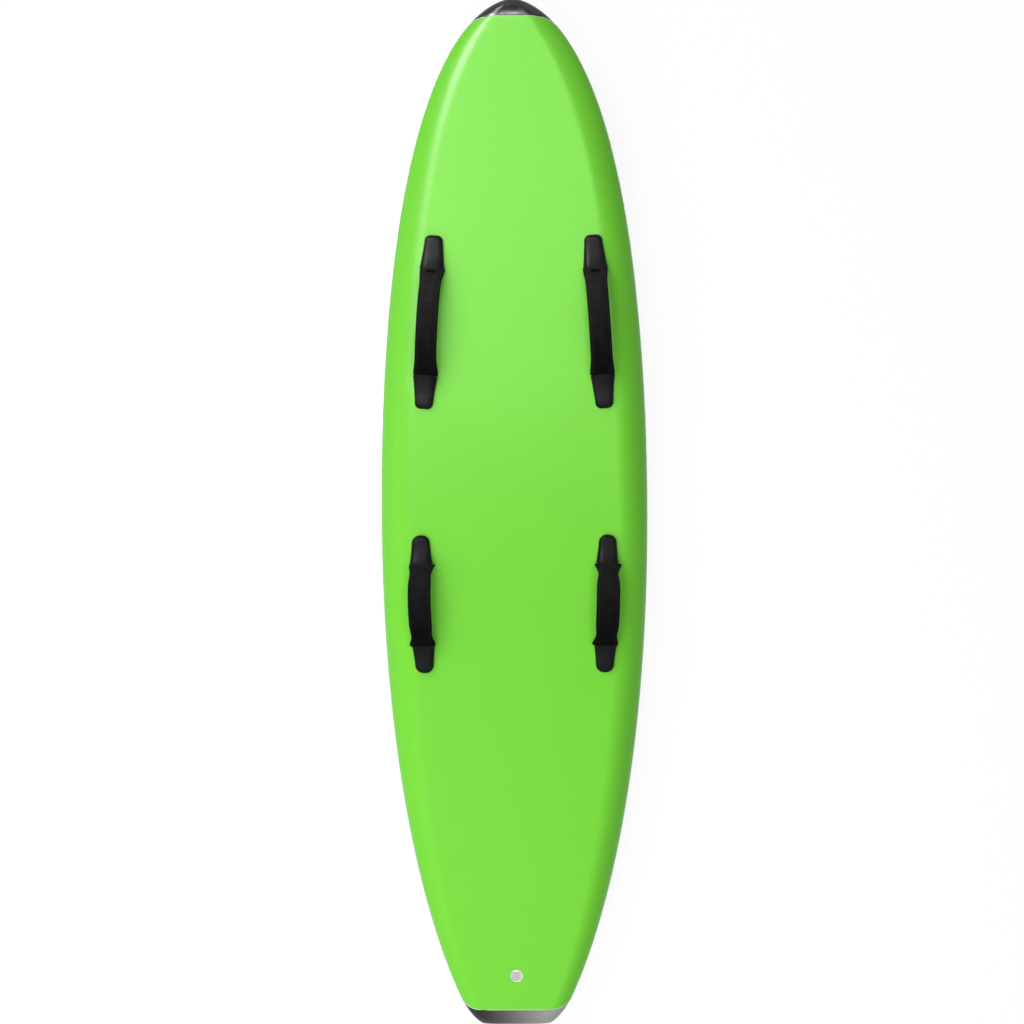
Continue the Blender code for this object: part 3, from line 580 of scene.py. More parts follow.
class Finish:
    """Small helper for building one node material; a colour may be a single number for a grey."""

    def __init__(self, name, colour, roughness):
        self.made = bpy.data.materials.new(name)
        self.made.use_nodes = True
        self.tree = self.made.node_tree
        self.shader = self.tree.nodes["Principled BSDF"]
        self.put(self.shader.inputs["Base Color"], colour)
        self.made.diffuse_color = self.shader.inputs["Base Color"].default_value
        self.shader.inputs["Roughness"].default_value = roughness
        self.where = self.node("ShaderNodeTexCoord").outputs["Object"]

    def node(self, kind, **settings):
        made = self.tree.nodes.new(kind)
        for key, value in settings.items():
            setattr(made, key, value)
        return made

    def link(self, a, b):
        self.tree.links.new(a, b)

    def put(self, socket, value):
        if isinstance(value, bpy.types.NodeSocket):
            self.link(value, socket)
        elif socket.type == "RGBA":
            socket.default_value = (*(value if isinstance(value, tuple) else (value,) * 3), 1.0)
        else:
            socket.default_value = value

    def texture(self, made, output, where=None, **values):
        self.fill(made, **values)
        self.link(where or self.where, made.inputs["Vector"])
        return made.outputs[output]

    def fill(self, node, **values):
        for key, value in values.items():
            node.inputs[key.replace("_", " ")].default_value = value

    def axis(self, name):
        """The piece's own X, Y or Z."""
        made = self.node("ShaderNodeSeparateXYZ")
        self.link(self.where, made.inputs[0])
        return made.outputs[name]

    def run(self):
        """The piece's own map, in metres across and along it."""
        return self.node("ShaderNodeUVMap", uv_map="run").outputs["UV"]

    def stretched(self, scale):
        return self.texture(self.node("ShaderNodeMapping"), "Vector", Scale=scale)

    def noise(self, scale, detail=3.0, roughness=0.5, where=None, distortion=0.0):
        values = {"Scale": scale, "Detail": detail, "Roughness": roughness, "Distortion": distortion}
        return self.texture(self.node("ShaderNodeTexNoise"), "Fac", where, **values)

    def cells(self, scale, feature="F1"):
        made = self.node("ShaderNodeTexVoronoi", feature=feature)
        return self.texture(made, "Distance", Scale=scale)

    def wave(self, scale, direction="X", where=None):
        made = self.node("ShaderNodeTexWave", bands_direction=direction)
        return self.texture(made, "Fac", where, Scale=scale)

    def remap(self, source, low, high, out_low=0.0, out_high=1.0):
        made = self.node("ShaderNodeMapRange", interpolation_type="SMOOTHSTEP")
        for socket, value in zip(made.inputs, (source, low, high, out_low, out_high)):
            self.put(socket, value)
        return made.outputs["Result"]

    def math(self, operation, a, b):
        made = self.node("ShaderNodeMath", operation=operation)
        self.put(made.inputs[0], a)
        self.put(made.inputs[1], b)
        return made.outputs["Value"]

    def mix(self, share, a, b):
        made = self.node("ShaderNodeMix", data_type="RGBA")
        for place, value in ((0, share), (6, a), (7, b)):
            self.put(made.inputs[place], value)
        return made.outputs[2]

    def colour(self, source):
        self.link(source, self.shader.inputs["Base Color"])

    def roughness(self, source, *span):
        self.link(self.remap(source, *span), self.shader.inputs["Roughness"])

    def bump(self, *layers):
        """Adds bump layers, each (height, depth in metres)."""
        normal = None
        for height, depth in layers:
            made = self.node("ShaderNodeBump")
            self.fill(made, Distance=depth)
            self.link(height, made.inputs["Height"])
            if normal:
                self.link(normal, made.inputs["Normal"])
            normal = made.outputs["Normal"]
        self.link(normal, self.shader.inputs["Normal"])


def deck_foam():
    """Closed-cell foam with a smooth film: fine grain, faint waviness, and ends painted paler as a painted
    highlight on their edges.
    """
    f = Finish("deck_foam_skin", (0.189, 0.70, 0.045), 0.35)
    patches = f.noise(5.0, 4.0, 0.55)
    grain = f.noise(420.0, 2.0, 0.6)
    tone = f.mix(f.remap(patches, 0.35, 0.65), (0.187, 0.697, 0.044), (0.191, 0.703, 0.046))
    tone = f.mix(f.remap(grain, 0.3, 0.7, 0.0, 0.10), tone, (0.24, 0.78, 0.07))
    along = f.axis("Y")
    # Painted highlight: paler colour past the end lines, for the light that the deck's rolled ends catch
    from_nose = f.remap(along, NOSE_LINE, NOSE_LINE + END_HIGHLIGHT_FADE)
    from_tail = f.remap(along, TAIL_LINE - END_HIGHLIGHT_FADE, TAIL_LINE, 1.0, 0.0)
    f.colour(f.mix(f.math("MAXIMUM", from_nose, from_tail), tone, (0.60, 0.88, 0.50)))
    f.roughness(f.noise(16.0, 3.0), 0.3, 0.7, 0.34, 0.36)
    f.bump((f.noise(9.0, 1.0), 0.00015), (f.cells(360.0), 0.00010), (grain, 0.00006))
    f.fill(f.shader, Specular_IOR_Level=0.10)
    return f.made


def bottom_sheet():
    f = Finish("bottom_sheet_plastic", (0.84, 0.85, 0.85), 0.28)
    scratches = f.noise(60.0, 4.0, 0.7, f.stretched((9.0, 0.35, 9.0)))
    worn = f.remap(f.noise(7.0, 4.0), 0.35, 0.7, 0.0, 0.5)
    f.colour(f.mix(worn, (0.86, 0.87, 0.87), (0.78, 0.79, 0.79)))
    f.roughness(scratches, 0.35, 0.65, 0.22, 0.38)
    f.bump((f.noise(12.0, 2.0), 0.0004), (scratches, 0.00002))
    return f.made


def core_foam():
    f = Finish("core_bead_foam", (0.88, 0.88, 0.86), 0.85)
    beads = f.cells(330.0, "DISTANCE_TO_EDGE")
    f.colour(f.mix(f.remap(beads, 0.0, 0.12), (0.66, 0.66, 0.63), (0.90, 0.90, 0.88)))
    f.roughness(beads, 0.0, 0.2, 0.95, 0.75)
    f.bump((f.remap(beads, 0.0, 0.25), 0.0006))
    return f.made


def stringer_wood():
    f = Finish("stringer_timber", (0.50, 0.34, 0.18), 0.6)
    grain = f.noise(38.0, 5.0, 0.6, f.stretched((1.0, 0.05, 1.0)), 0.4)
    f.colour(f.mix(f.remap(grain, 0.35, 0.65), (0.36, 0.22, 0.10), (0.60, 0.43, 0.25)))
    f.roughness(grain, 0.3, 0.7, 0.72, 0.55)
    f.bump((grain, 0.0002))
    return f.made


RUBBER_BLACK = 0.004
RUBBER_DUSTY = 0.009
# Painted reflection: span along X and pale tone with which the tail bumper's colour rises towards +X, for
# the light its right side reflects
PAINTED_REFLECTION_SPAN = (-0.080, 0.120)
PAINTED_REFLECTION_TONE = (0.46, 0.46, 0.455)


def rubber(name, roughness, gloss, pebble=0.00008, painted_reflection=False):
    """Black rubber with a fine moulded texture, dull rubbed patches and, if asked, a painted reflection:
    pale colour, mottled, rising towards +X.
    """
    f = Finish(name, RUBBER_BLACK, roughness)
    rubbed = f.noise(34.0, 5.0, 0.62)
    fine = f.noise(900.0, 2.0, 0.6)
    tone = f.mix(f.remap(rubbed, 0.42, 0.72), RUBBER_BLACK, RUBBER_DUSTY)
    # Painted reflection: colour paler towards +X, mottled
    if painted_reflection:
        patches = f.remap(f.noise(300.0, 4.0, 0.65), 0.3, 0.7, 0.82, 1.0)
        tone = f.mix(f.math("MULTIPLY", f.remap(f.axis("X"), *PAINTED_REFLECTION_SPAN), patches), tone, PAINTED_REFLECTION_TONE)
    f.colour(tone)
    f.roughness(rubbed, 0.3, 0.7, roughness - 0.07, roughness + 0.09)
    f.bump((f.noise(70.0, 3.0), 0.00025), (fine, pebble))
    f.fill(f.shader, Specular_IOR_Level=gloss)
    return f.made


def tube_plastic():
    f = Finish("tube_plastic", (0.96, 0.96, 0.95), 0.20)
    worn = f.remap(f.noise(90.0, 4.0), 0.35, 0.7, 0.0, 0.6)
    f.colour(f.mix(worn, (0.97, 0.97, 0.96), (0.91, 0.90, 0.87)))
    f.roughness(f.noise(200.0, 2.0), 0.3, 0.7, 0.06, 0.14)
    f.fill(f.shader, Specular_IOR_Level=1.0, Coat_Weight=1.0, Coat_Roughness=0.05, Coat_IOR=1.8)
    f.bump((f.wave(320.0, "Z"), 0.00003))
    return f.made


def webbing():
    """Woven polyester: ribs along the strap crossed by a herringbone weft."""
    f = Finish("strap_webbing_weave", 0.002, 0.75)
    run = f.run()
    weave = f.math("MULTIPLY", f.wave(150.0, "X", run), f.wave(210.0, "DIAGONAL", run))
    # Near black: the webbing's own black, made darker still as painted shade in the sleeve slot and the
    # gaps at the cap mouths
    f.colour(f.mix(weave, 0.001, 0.004))
    f.roughness(weave, 0.0, 1.0, 0.85, 0.62)
    f.bump((weave, 0.0004), (f.noise(2600.0, 2.0), 0.00006))
    f.fill(f.shader, Sheen_Weight=0.004, Sheen_Roughness=0.5, Specular_IOR_Level=0.03)
    return f.made


# Length along a sleeve over which its colour turns from painted shade at the tail end to painted light at
# the nose end
NOSE_LIGHT_REACH = 0.085


def neoprene():
    """Laminated neoprene: fine knit facing over soft rubber, lighter towards the nose as painted light and
    darker towards the tail as painted shade.
    """
    f = Finish("grip_neoprene_knit", 0.008, 0.50)
    run = f.run()
    knit = f.math("MULTIPLY", f.wave(330.0, "X", run), f.wave(400.0, "Y", run))
    rubbed = f.remap(f.noise(60.0, 4.0, 0.6), 0.4, 0.7)
    tail_shade_tone, nose_light_tone = f.mix(rubbed, 0.0010, 0.0030), f.mix(rubbed, 0.0090, 0.0140)
    # Painted light and shade: lighter on the nose half, darker on the tail half
    f.colour(f.mix(f.remap(f.axis("Y"), -NOSE_LIGHT_REACH, NOSE_LIGHT_REACH), tail_shade_tone, nose_light_tone))
    f.roughness(knit, 0.0, 1.0, 0.56, 0.44)
    f.bump((f.noise(110.0, 3.0), 0.00035), (knit, 0.00016))
    f.fill(f.shader, Sheen_Weight=0.004, Sheen_Roughness=0.45, Specular_IOR_Level=0.02)
    return f.made


def thread():
    f = Finish("stitch_thread", 0.008, 0.6)
    twist = f.wave(900.0, "DIAGONAL")
    f.colour(f.mix(twist, 0.005, 0.013))
    f.bump((twist, 0.00008))
    f.fill(f.shader, Sheen_Weight=0.05, Specular_IOR_Level=0.25)
    return f.made


def steel():
    f = Finish("turned_stainless", 0.60, 0.3)
    lines = f.noise(700.0, 3.0, 0.6, f.stretched((1.0, 1.0, 0.04)))
    f.colour(f.mix(lines, 0.54, (0.64, 0.64, 0.63)))
    f.roughness(lines, 0.3, 0.7, 0.22, 0.38)
    f.bump((lines, 0.00003))
    f.fill(f.shader, Metallic=1.0)
    return f.made


def insert_plastic():
    f = Finish("insert_moulding", (0.045, 0.045, 0.047), 0.5)
    fine = f.noise(500.0, 3.0)
    f.colour(f.mix(fine, (0.035, 0.035, 0.037), (0.058, 0.058, 0.060)))
    f.roughness(fine, 0.3, 0.7, 0.42, 0.58)
    f.bump((fine, 0.00006))
    return f.made


# Board pieces


def end_cover(share):
    """How far the deck reaches over the bottom sheet's end: fully in the middle, not at the corners."""
    ramp = min(1.0, max(0.0, (COVER_END - abs(share)) / (COVER_END - COVER_FULL)))
    return ramp * ramp * (3 - 2 * ramp)


def make_deck(finish, holes):
    stations = board_stations()
    rows = [[deck_chain(station, inset, LAYER_GAP) for inset in (0.0, SKIN)] for station in stations]
    for index, line, towards in ((0, TAIL_LINE, -1), (-1, NOSE_LINE, 1)):
        step = deck_spot(0.0, line + towards * (SLICK + LAYER_GAP)) - deck_spot(0.0, line)
        covers = [end_cover(share) for share in chain_shares(stations[index].y)]
        rows[index] = [[point + step * c for point, c in zip(chain, covers)] for chain in rows[index]]
    deck = loft("deck_skin_form", rows, finish)
    soften_edges(deck, 0.0007)
    cut(deck, *holes)
    return place_on(apply_modifiers(deck), "board", "deck_foam", "deck_skin")


def sheet_top(station):
    """Top edge of the turned-up end: level with the deck at the corners, under it in the middle."""
    drop = Vector((0, 0, SKIN + LAYER_GAP))
    return [deck_point(station, share) - drop * end_cover(share) for share in chain_shares(station.y)]


def sheet_end_rows(line, towards):
    wing = -towards * BUMPER_WING
    near = Station(line + towards * LAYER_GAP, wing, 1.0)
    far = Station(near.y + towards * SLICK, wing + towards * END_LIP, 1.0)
    foot = bottom_chain(near, SLICK)
    foot[0], foot[-1] = deck_point(near, 1.0), deck_point(near, -1.0)
    return [
        (foot, slick_edge_chain(near)),
        (sheet_top(near), slick_edge_chain(near)),
        (sheet_top(far), bottom_chain(far, 0.0)),
    ]


def make_slick(finish, hole):
    rows = sheet_end_rows(TAIL_LINE, -1)[::-1]
    rows += [(bottom_chain(station, SLICK), slick_edge_chain(station)) for station in board_stations()]
    rows += sheet_end_rows(NOSE_LINE, 1)
    slick = loft("bottom_slick_form", rows, finish)
    cut(slick, hole)
    return place_on(apply_modifiers(slick), "board", "bottom_sheet", "bottom_slick")


def make_bumper(name, line, reach, towards, finish):
    rows = [
        (deck_chain(station, 0.0), bottom_chain(station, 0.0))
        for station in bumper_stations(line, reach, towards)
    ]
    bumper = loft(f"{name}_form", rows, finish)
    soften_edges(bumper, 0.0010, 3)
    return place_on(apply_modifiers(bumper), "board", "bumper_rubber", name)


def tube_place():
    y = -LENGTH / 2 + TUBE_SETBACK
    return y, section(y)


def make_tube(finish):
    """White tube with a rolled lip at both ends and the joint of its two halves inside."""
    y, here = tube_place()
    low, high = here.bottom + TUBE_RECESS, here.deck - TUBE_RECESS
    outer, bore = TUBE_OUTER / 2, TUBE_BORE / 2
    lip = (outer - bore) / 2
    joint = low + TUBE_JOINT_PLACE * (high - low)
    half_turn = arc(8, 0, math.pi)
    profile = [(outer, low + lip), (outer, high - lip)]
    profile += [(bore + lip * (1 + x), high - lip * (1 - z)) for x, z in half_turn]
    profile += [(bore + depth, joint + rise) for depth, rise in TUBE_JOINT]
    profile += [(bore + lip * (1 - x), low + lip * (1 - z)) for x, z in half_turn]
    tube = turned("tow_hole_tube_form", profile, finish, Matrix.Translation((0, y, 0)))
    return place_on(tube, "board", "tube_plastic", "tow_hole_tube")


def tube_hole():
    """Cutter for the tube's hole, flared where it breaks the deck so that the foam rolls into it."""
    y, here = tube_place()
    radius = TUBE_OUTER / 2 + TUBE_GAP
    low, high = here.bottom - 0.05, here.deck + 0.02
    profile = [(0, low), (radius, low)]
    for x, z in arc(6, 0, math.pi / 2):
        profile.append((radius + HOLE_ROLL * (1 - x), here.deck - HOLE_ROLL * (1 - z)))
    profile += [(radius + HOLE_ROLL, high), (0, high)]
    sheared = Matrix.Identity(4)
    sheared[2][1] = (section(y + 0.004).deck - section(y - 0.004).deck) / 0.008
    return turned("hole_for_tube_form", profile, None, Matrix.Translation((0, y, 0)) @ sheared)


# Handles


def frame_of(along, up, origin):
    return Matrix.Translation(origin) @ Matrix((along.cross(up), along, up)).transposed().to_4x4()


def cap_frame(handle, side, towards):
    heading = Vector((-side * math.sin(handle.splay), math.cos(handle.splay), 0)) * towards
    middle = Vector((side * handle.spacing * WIDTH / 2, handle.station * LENGTH, 0))
    seat = middle + heading * (handle.loop + handle.cap_length) / 2
    up = deck_normal(seat.x, seat.y)
    along = (heading - up * heading.dot(up)).normalized()
    origin = deck_spot(seat.x, seat.y) - along * handle.cap_length / 2 + up * SEAT_GAP
    return frame_of(along, up, origin)


def grip_frame(mouths):
    nose, tail = (mouth @ Vector((0, 0, ARCH_NECK)) for mouth in mouths)
    along = (nose - tail).normalized()
    mean_up = (mouths[0].col[2] + mouths[1].col[2]).to_3d()
    up = (mean_up - along * mean_up.dot(along)).normalized()
    return frame_of(along, up, (nose + tail) / 2)


def loop_share(handle, place):
    return min(1.0, abs(place) / (handle.loop / 2))


def arch(handle, place):
    share = loop_share(handle, place)
    height = ARCH_RISE * (1 - share**ARCH_POWER)
    steepness = ARCH_RISE * ARCH_POWER * share ** (ARCH_POWER - 1) / (handle.loop / 2)
    return height, -math.copysign(steepness, place)


def strap_end(handle):
    return handle.cap_length - handle.toe_round - STRAP_TOE_GAP


def screw_place(handle):
    return strap_end(handle) - SCREW_EDGE


def ramp(handle, place):
    length = screw_place(handle) - WASHER_OUTER / 2 - STRAP_FLAT_ROOM
    low = STRAP_THICKNESS / 2
    t = min(1.0, place / length)
    _, mouth_slope = arch(handle, handle.loop / 2)
    height = (
        ARCH_NECK * (2 * t**3 - 3 * t**2 + 1)
        + mouth_slope * length * (t**3 - 2 * t**2 + t)
        + low * (3 * t**2 - 2 * t**3)
    )
    slope = (low - ARCH_NECK) * 6 * t * (1 - t) / length + mouth_slope * (3 * t**2 - 4 * t + 1)
    return height, slope


def bell(distance):
    return math.exp(-(distance**2))


def grip_half_width(name, handle, place):
    sleeve = SLEEVES[name]
    share = loop_share(handle, place)
    at_nose = 1 if place > 0 else 0
    ear = sleeve.ear + at_nose * sleeve.nose_ear
    neck = sleeve.neck + at_nose * sleeve.nose_neck
    ear *= bell((share - sleeve.ear_place) / sleeve.ear_reach)
    neck *= bell((share - sleeve.neck_place) / NECK_REACH)
    return (STRAP_WIDTH + sleeve.padding + ear - neck) / 2


def directions(slope):
    """Unit vectors along a line of this slope and square to it."""
    return Vector((0, 1, slope)).normalized(), Vector((0, -slope, 1)).normalized()


def strap_spot(name, handle, place):
    """Middle of a strap at a place along its loop, with its two directions."""
    height, slope = arch(handle, place)
    outwards = -1 if name.endswith("left") else 1
    bow = outwards * SLEEVES[name].bow * (1 - loop_share(handle, place) ** SIDE_BOW_POWER)
    return Vector((bow, place, height)), *directions(slope)


def sleeve_spot(name, handle, place):
    """The same for the sleeve, whose ends sit to one side of the strap."""
    middle, along, normal = strap_spot(name, handle, place)
    shift = SLEEVES[name].nose_shift if place > 0 else SLEEVES[name].tail_shift
    middle.x += shift * loop_share(handle, place) ** SHIFT_POWER
    return middle, along, normal


def cap_outline(handle, inset, reach):
    """(place, half width, height) of a cap's rows from mouth to toe, or of its hollow's."""
    toe_round = handle.toe_round + handle.toe_rounder
    straight = handle.cap_length + reach - toe_round
    places = [straight * i / CAP_STATIONS for i in range(CAP_STATIONS + 1)]
    if not inset:
        across_lip = [LIP_WIDTH * (1 - cosine) / 2 for cosine, _ in arc(LIP_STEPS, 0, math.pi)]
        places = across_lip + [place for place in places if place > LIP_WIDTH * 1.2]
    toe = (STRAP_WIDTH + handle.toe) / 2 + CAP_WALL
    flare = (STRAP_WIDTH + handle.mouth) / 2 - toe
    found = []
    for place in places:
        half = toe + flare * (1 - place / straight) ** CAP_FLARE_POWER
        share = max(0.0, 1 - place / (CAP_RAMP * handle.cap_length))
        height = CAP_TOE_HEIGHT + (CAP_MOUTH_HEIGHT - CAP_TOE_HEIGHT) * share**CAP_RAMP_POWER
        lip = LIP_HEIGHT * math.sqrt(max(0.0, 1 - (2 * place / LIP_WIDTH - 1) ** 2))
        grow = -inset if inset else lip
        found.append((place, half + grow, height + grow))
    toe_round -= inset
    for cosine, sine in arc(TOE_STEPS, 0, math.pi / 2)[1:]:
        half = toe - inset - toe_round * (1 - cosine)
        height = (CAP_TOE_HEIGHT - inset) * max(0.0, cosine) ** (2 / CAP_ROUNDNESS)
        found.append((straight + toe_round * sine, half, height))
    found[-1] = (*found[-1][:2], 0.0)
    return found


def cap_rows(name, handle, mouth, inset=0.0, base=None):
    """Rows in the cap's own frame, with the lower chain on the deck or at a fixed base."""
    at_nose = name.endswith("nose")
    reach = handle.toe_reach if at_nose else 0.0
    bulge = handle.nose_bow if at_nose else MOUTH_BOW
    # On the cap's own left and right, seen from its mouth towards its toe
    sides = CAP_SIDES[name] if ("left" in name) == at_nose else CAP_SIDES[name][::-1]
    shares = signed_shares(CAP_SHARE_STEPS, CAP_ROUNDNESS)
    inverse = mouth.inverted()
    outlines = cap_outline(handle, inset, reach)
    if inset:
        outlines.insert(0, (-CUTTER_REACH, *outlines[0][1:]))
    widest = outlines[0][1]
    rows = []
    for place, half, height in outlines:
        bow = 0.0 if inset else bulge * max(0.0, 1 - place / BOW_FADE)
        crest, foot = [], []
        for s in shares:
            up = rounded_height(abs(s), CAP_ROUNDNESS)
            x = half * s * (1 + sides[s > 0] / widest)
            if base is None:
                world = mouth @ Vector((x, place, 0))
                low = (inverse @ deck_spot(world.x, world.y)).z - CAP_SINK
            else:
                low = base
            crest.append(Vector((x, place - bow * up, max(low, height * up))))
            foot.append(Vector((x, place, low)))
        rows.append((crest, foot))
    return rows


def make_cap(name, handle, mouth, finish):
    cap = loft(f"cap_{name}_form", cap_rows(name, handle, mouth), finish)
    hollow = loft(f"hollow_{name}", cap_rows(name, handle, mouth, CAP_WALL, -CUTTER_DEPTH), None)
    cut(cap, hollow)
    apply_modifiers(cap, [hollow])
    soften_edges(cap, 0.0005, 2, 45)
    apply_modifiers(cap)
    move_to(cap, mouth)
    return place_on(cap, "board", "cap_rubber", f"cap_{name}")


def grip_places(handle, margin):
    """Places along a sleeve, closer together towards its ends."""
    end = handle.loop / 2 - margin
    evens = (1 - 2 * i / GRIP_STATIONS for i in range(GRIP_STATIONS + 1))
    return [end * (0.35 * math.sin(math.pi / 2 * even) + 0.65 * even) for even in evens]


def grip_rows(name, handle):
    """Rows of the sleeve about its hinge line."""
    shares = signed_shares(GRIP_SHARE_STEPS, GRIP_ROUNDNESS)
    reach = handle.loop / 2
    rows = []
    for place in grip_places(handle, GRIP_END_GAP):
        middle, _, normal = sleeve_spot(name, handle, place)
        half = grip_half_width(name, handle, place)
        hem = max(0.0, 1 - (reach - GRIP_END_GAP - abs(place)) / HEM_REACH)
        squeeze = 1 - HEM_SQUEEZE * (1 - math.sqrt(max(0.0, 1 - hem**2)))
        dent = handle.nose_bow - MOUTH_BOW if place > 0 else 0.0
        dent *= max(0.0, 1 - (reach - place) / BOW_FADE)
        upper, lower = [], []
        for s in shares:
            rounded = rounded_height(abs(s), GRIP_ROUNDNESS)
            rise = GRIP_THICKNESS / 2 * squeeze * rounded
            seam = crease = 0.0
            if rise > LEAST_RISE:
                seam = SEAM_DEPTH * bell((abs(s) - SEAM_SHARE) / SEAM_REACH)
                for spot, depth in handle.creases:
                    wander = 0.012 * math.sin(7 * s + 40 * spot)
                    crease += depth * bell((place / reach - spot - wander) / CREASE_REACH) * (1 - s * s)
            side = middle + Vector((half * s * (0.6 + 0.4 * squeeze), 0, 0))
            top = normal * max(0.0, rise - seam - crease)
            upper.append(side + top - Vector((0, dent * rounded, 0)))
            lower.append(side - normal * max(0.0, rise - seam))
        rows.append((upper, lower))
    return rows


def channel_rows(name, handle):
    """Rows of the channel that a sleeve leaves for its strap."""
    half = Vector((STRAP_WIDTH / 2 + CHANNEL_GAP, 0, 0))
    end = handle.loop / 2
    rows = []
    for place in [end + CUTTER_REACH, *grip_places(handle, 0.0)[::3], -end - CUTTER_REACH]:
        middle, _, normal = strap_spot(name, handle, place)
        rise = normal * (STRAP_THICKNESS / 2 + CHANNEL_GAP)
        rows.append([[middle + half + up, middle - half + up] for up in (rise, -rise)])
    return rows


def slot_cutter(handle):
    """Round-ended slot through the top of a sleeve, with its rim rolled in."""
    place = handle.loop / 2 - SLOT_SETBACK
    height, slope = arch(handle, place)
    along, normal = directions(slope)
    top, straight = GRIP_THICKNESS / 2, (SLOT_LENGTH - SLOT_WIDTH) / 2
    levels = [(top - SLOT_ROLL * (1 - z), SLOT_ROLL * (1 - x)) for x, z in arc(5, 0, math.pi / 2)]
    shape = bmesh.new()
    rings = []
    for level, grow in [(0.0, 0.0), *levels, (top + CUTTER_DEPTH, SLOT_ROLL)]:
        radius = SLOT_WIDTH / 2 + grow
        ring = []
        for end in (1, -1):
            for x, y in arc(12, math.pi / 2, -math.pi / 2):
                spot = Vector((end * (straight + radius * x), place, height))
                spot += along * (end * radius * y) + normal * level
                ring.append(shape.verts.new(spot))
        rings.append(ring)
    close_rings(shape, rings)
    return finish_mesh("slot_form", shape, [])


def make_grip(name, handle, middle, finish):
    grip = loft(f"grip_{name}_sleeve", grip_rows(name, handle), finish)
    cutters = [loft(f"channel_{name}", channel_rows(name, handle), None)]
    if handle.slot:
        cutters.append(slot_cutter(handle))
    cut(grip, *cutters)
    apply_modifiers(grip, cutters)
    layer = grip.data.uv_layers.new(name="run")
    for loop in grip.data.loops:
        x, y, z = grip.data.vertices[loop.vertex_index].co
        layer.data[loop.index].uv = (x + (z if abs(x) > handle.side_start else 0), y)
    move_to(grip, middle)
    return place_on(grip, f"{name}_grip", "grip_neoprene", f"grip_{name}")


def make_stitches(name, handle, middle, finish):
    """Two rows of stitches sunk in the sleeve's seams, as one piece."""
    shape = bmesh.new()
    reach = handle.loop / 2 - GRIP_END_GAP - STITCH_MARGIN
    rise = GRIP_THICKNESS / 2 * rounded_height(SEAM_SHARE, GRIP_ROUNDNESS) - SEAM_DEPTH + STITCH_LIFT
    for edge in (-1, 1):
        for i in range(int(2 * reach / STITCH_PITCH)):
            place = -reach + STITCH_PITCH * (i + 0.5)
            centre, along, normal = sleeve_spot(name, handle, place)
            centre.x += edge * SEAM_SHARE * grip_half_width(name, handle, place)
            centre += normal * rise
            across = along.cross(normal)
            rings = []
            for t, size in STITCH_FORM:
                spot = centre + along * (STITCH_LENGTH / 2 * t) - normal * (STITCH_RADIUS * t * t)
                offsets = [(across * x + normal * z) * STITCH_RADIUS * size for x, z in circle(6)]
                rings.append([shape.verts.new(spot + offset) for offset in offsets])
            close_rings(shape, rings)
    stitches = finish_mesh(f"stitches_{name}", shape, [finish], 60)
    move_to(stitches, middle)
    return place_on(stitches, f"{name}_grip", "grip_neoprene")


def strap_section():
    """Webbing cross-section: flat faces and rounded selvedges."""
    radius = STRAP_THICKNESS / 2
    flat = STRAP_WIDTH / 2 - radius
    turns = arc(8, math.pi / 2, -math.pi / 2)
    return [(edge * (flat + radius * x), edge * radius * z) for edge in (1, -1) for x, z in turns]


def drill(name, handle, mouth, radius, low, high, sides):
    """Cutter for a round hole about a cap's screw."""
    profile = [(0, low), (radius + FIT, low), (radius + FIT, high), (0, high)]
    return turned(name, profile, None, mouth @ Matrix.Translation((0, screw_place(handle), 0)), sides)


def make_strap_half(name, handle, mouth, middle, end, finish):
    """Half of a strap, from its screwed end under a cap to the middle of the grip."""
    towards = 1 if end == "nose" else -1
    spots = []
    for i in range(STRAP_STATIONS + 1):
        place = strap_end(handle) * (1 - i / STRAP_STATIONS)
        height, slope = ramp(handle, place)
        spots.append((mouth, towards, Vector((0, place, height)), directions(slope)[1], place))
    for i in range(1, STRAP_STATIONS + 1):
        place = towards * handle.loop / 2 * (1 - i / STRAP_STATIONS)
        centre, _, normal = strap_spot(name, handle, place)
        spots.append((middle, 1, centre, normal, abs(place) - handle.loop / 2))
    shape = bmesh.new()
    layer = shape.loops.layers.uv.new("run")
    rings, runs = [], {}
    for matrix, flip, centre, normal, run in spots:
        ring = []
        for x, z in strap_section():
            ring.append(shape.verts.new(matrix @ (centre + Vector((x * flip, 0, 0)) + normal * z)))
            runs[ring[-1]] = (x, run)
        rings.append(ring)
    close_rings(shape, rings)
    for face in shape.faces:
        for loop in face.loops:
            loop[layer].uv = runs[loop.vert]
    strap = finish_mesh(f"strap_{name}_{end}", shape, [finish])
    hole = drill(f"strap_hole_{name}_{end}", handle, mouth, SCREW_SHANK / 2, -0.003, 0.006, 32)
    cut(strap, hole)
    apply_modifiers(strap, [hole])
    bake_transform(strap)
    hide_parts(f"strap_{name}")
    return strap


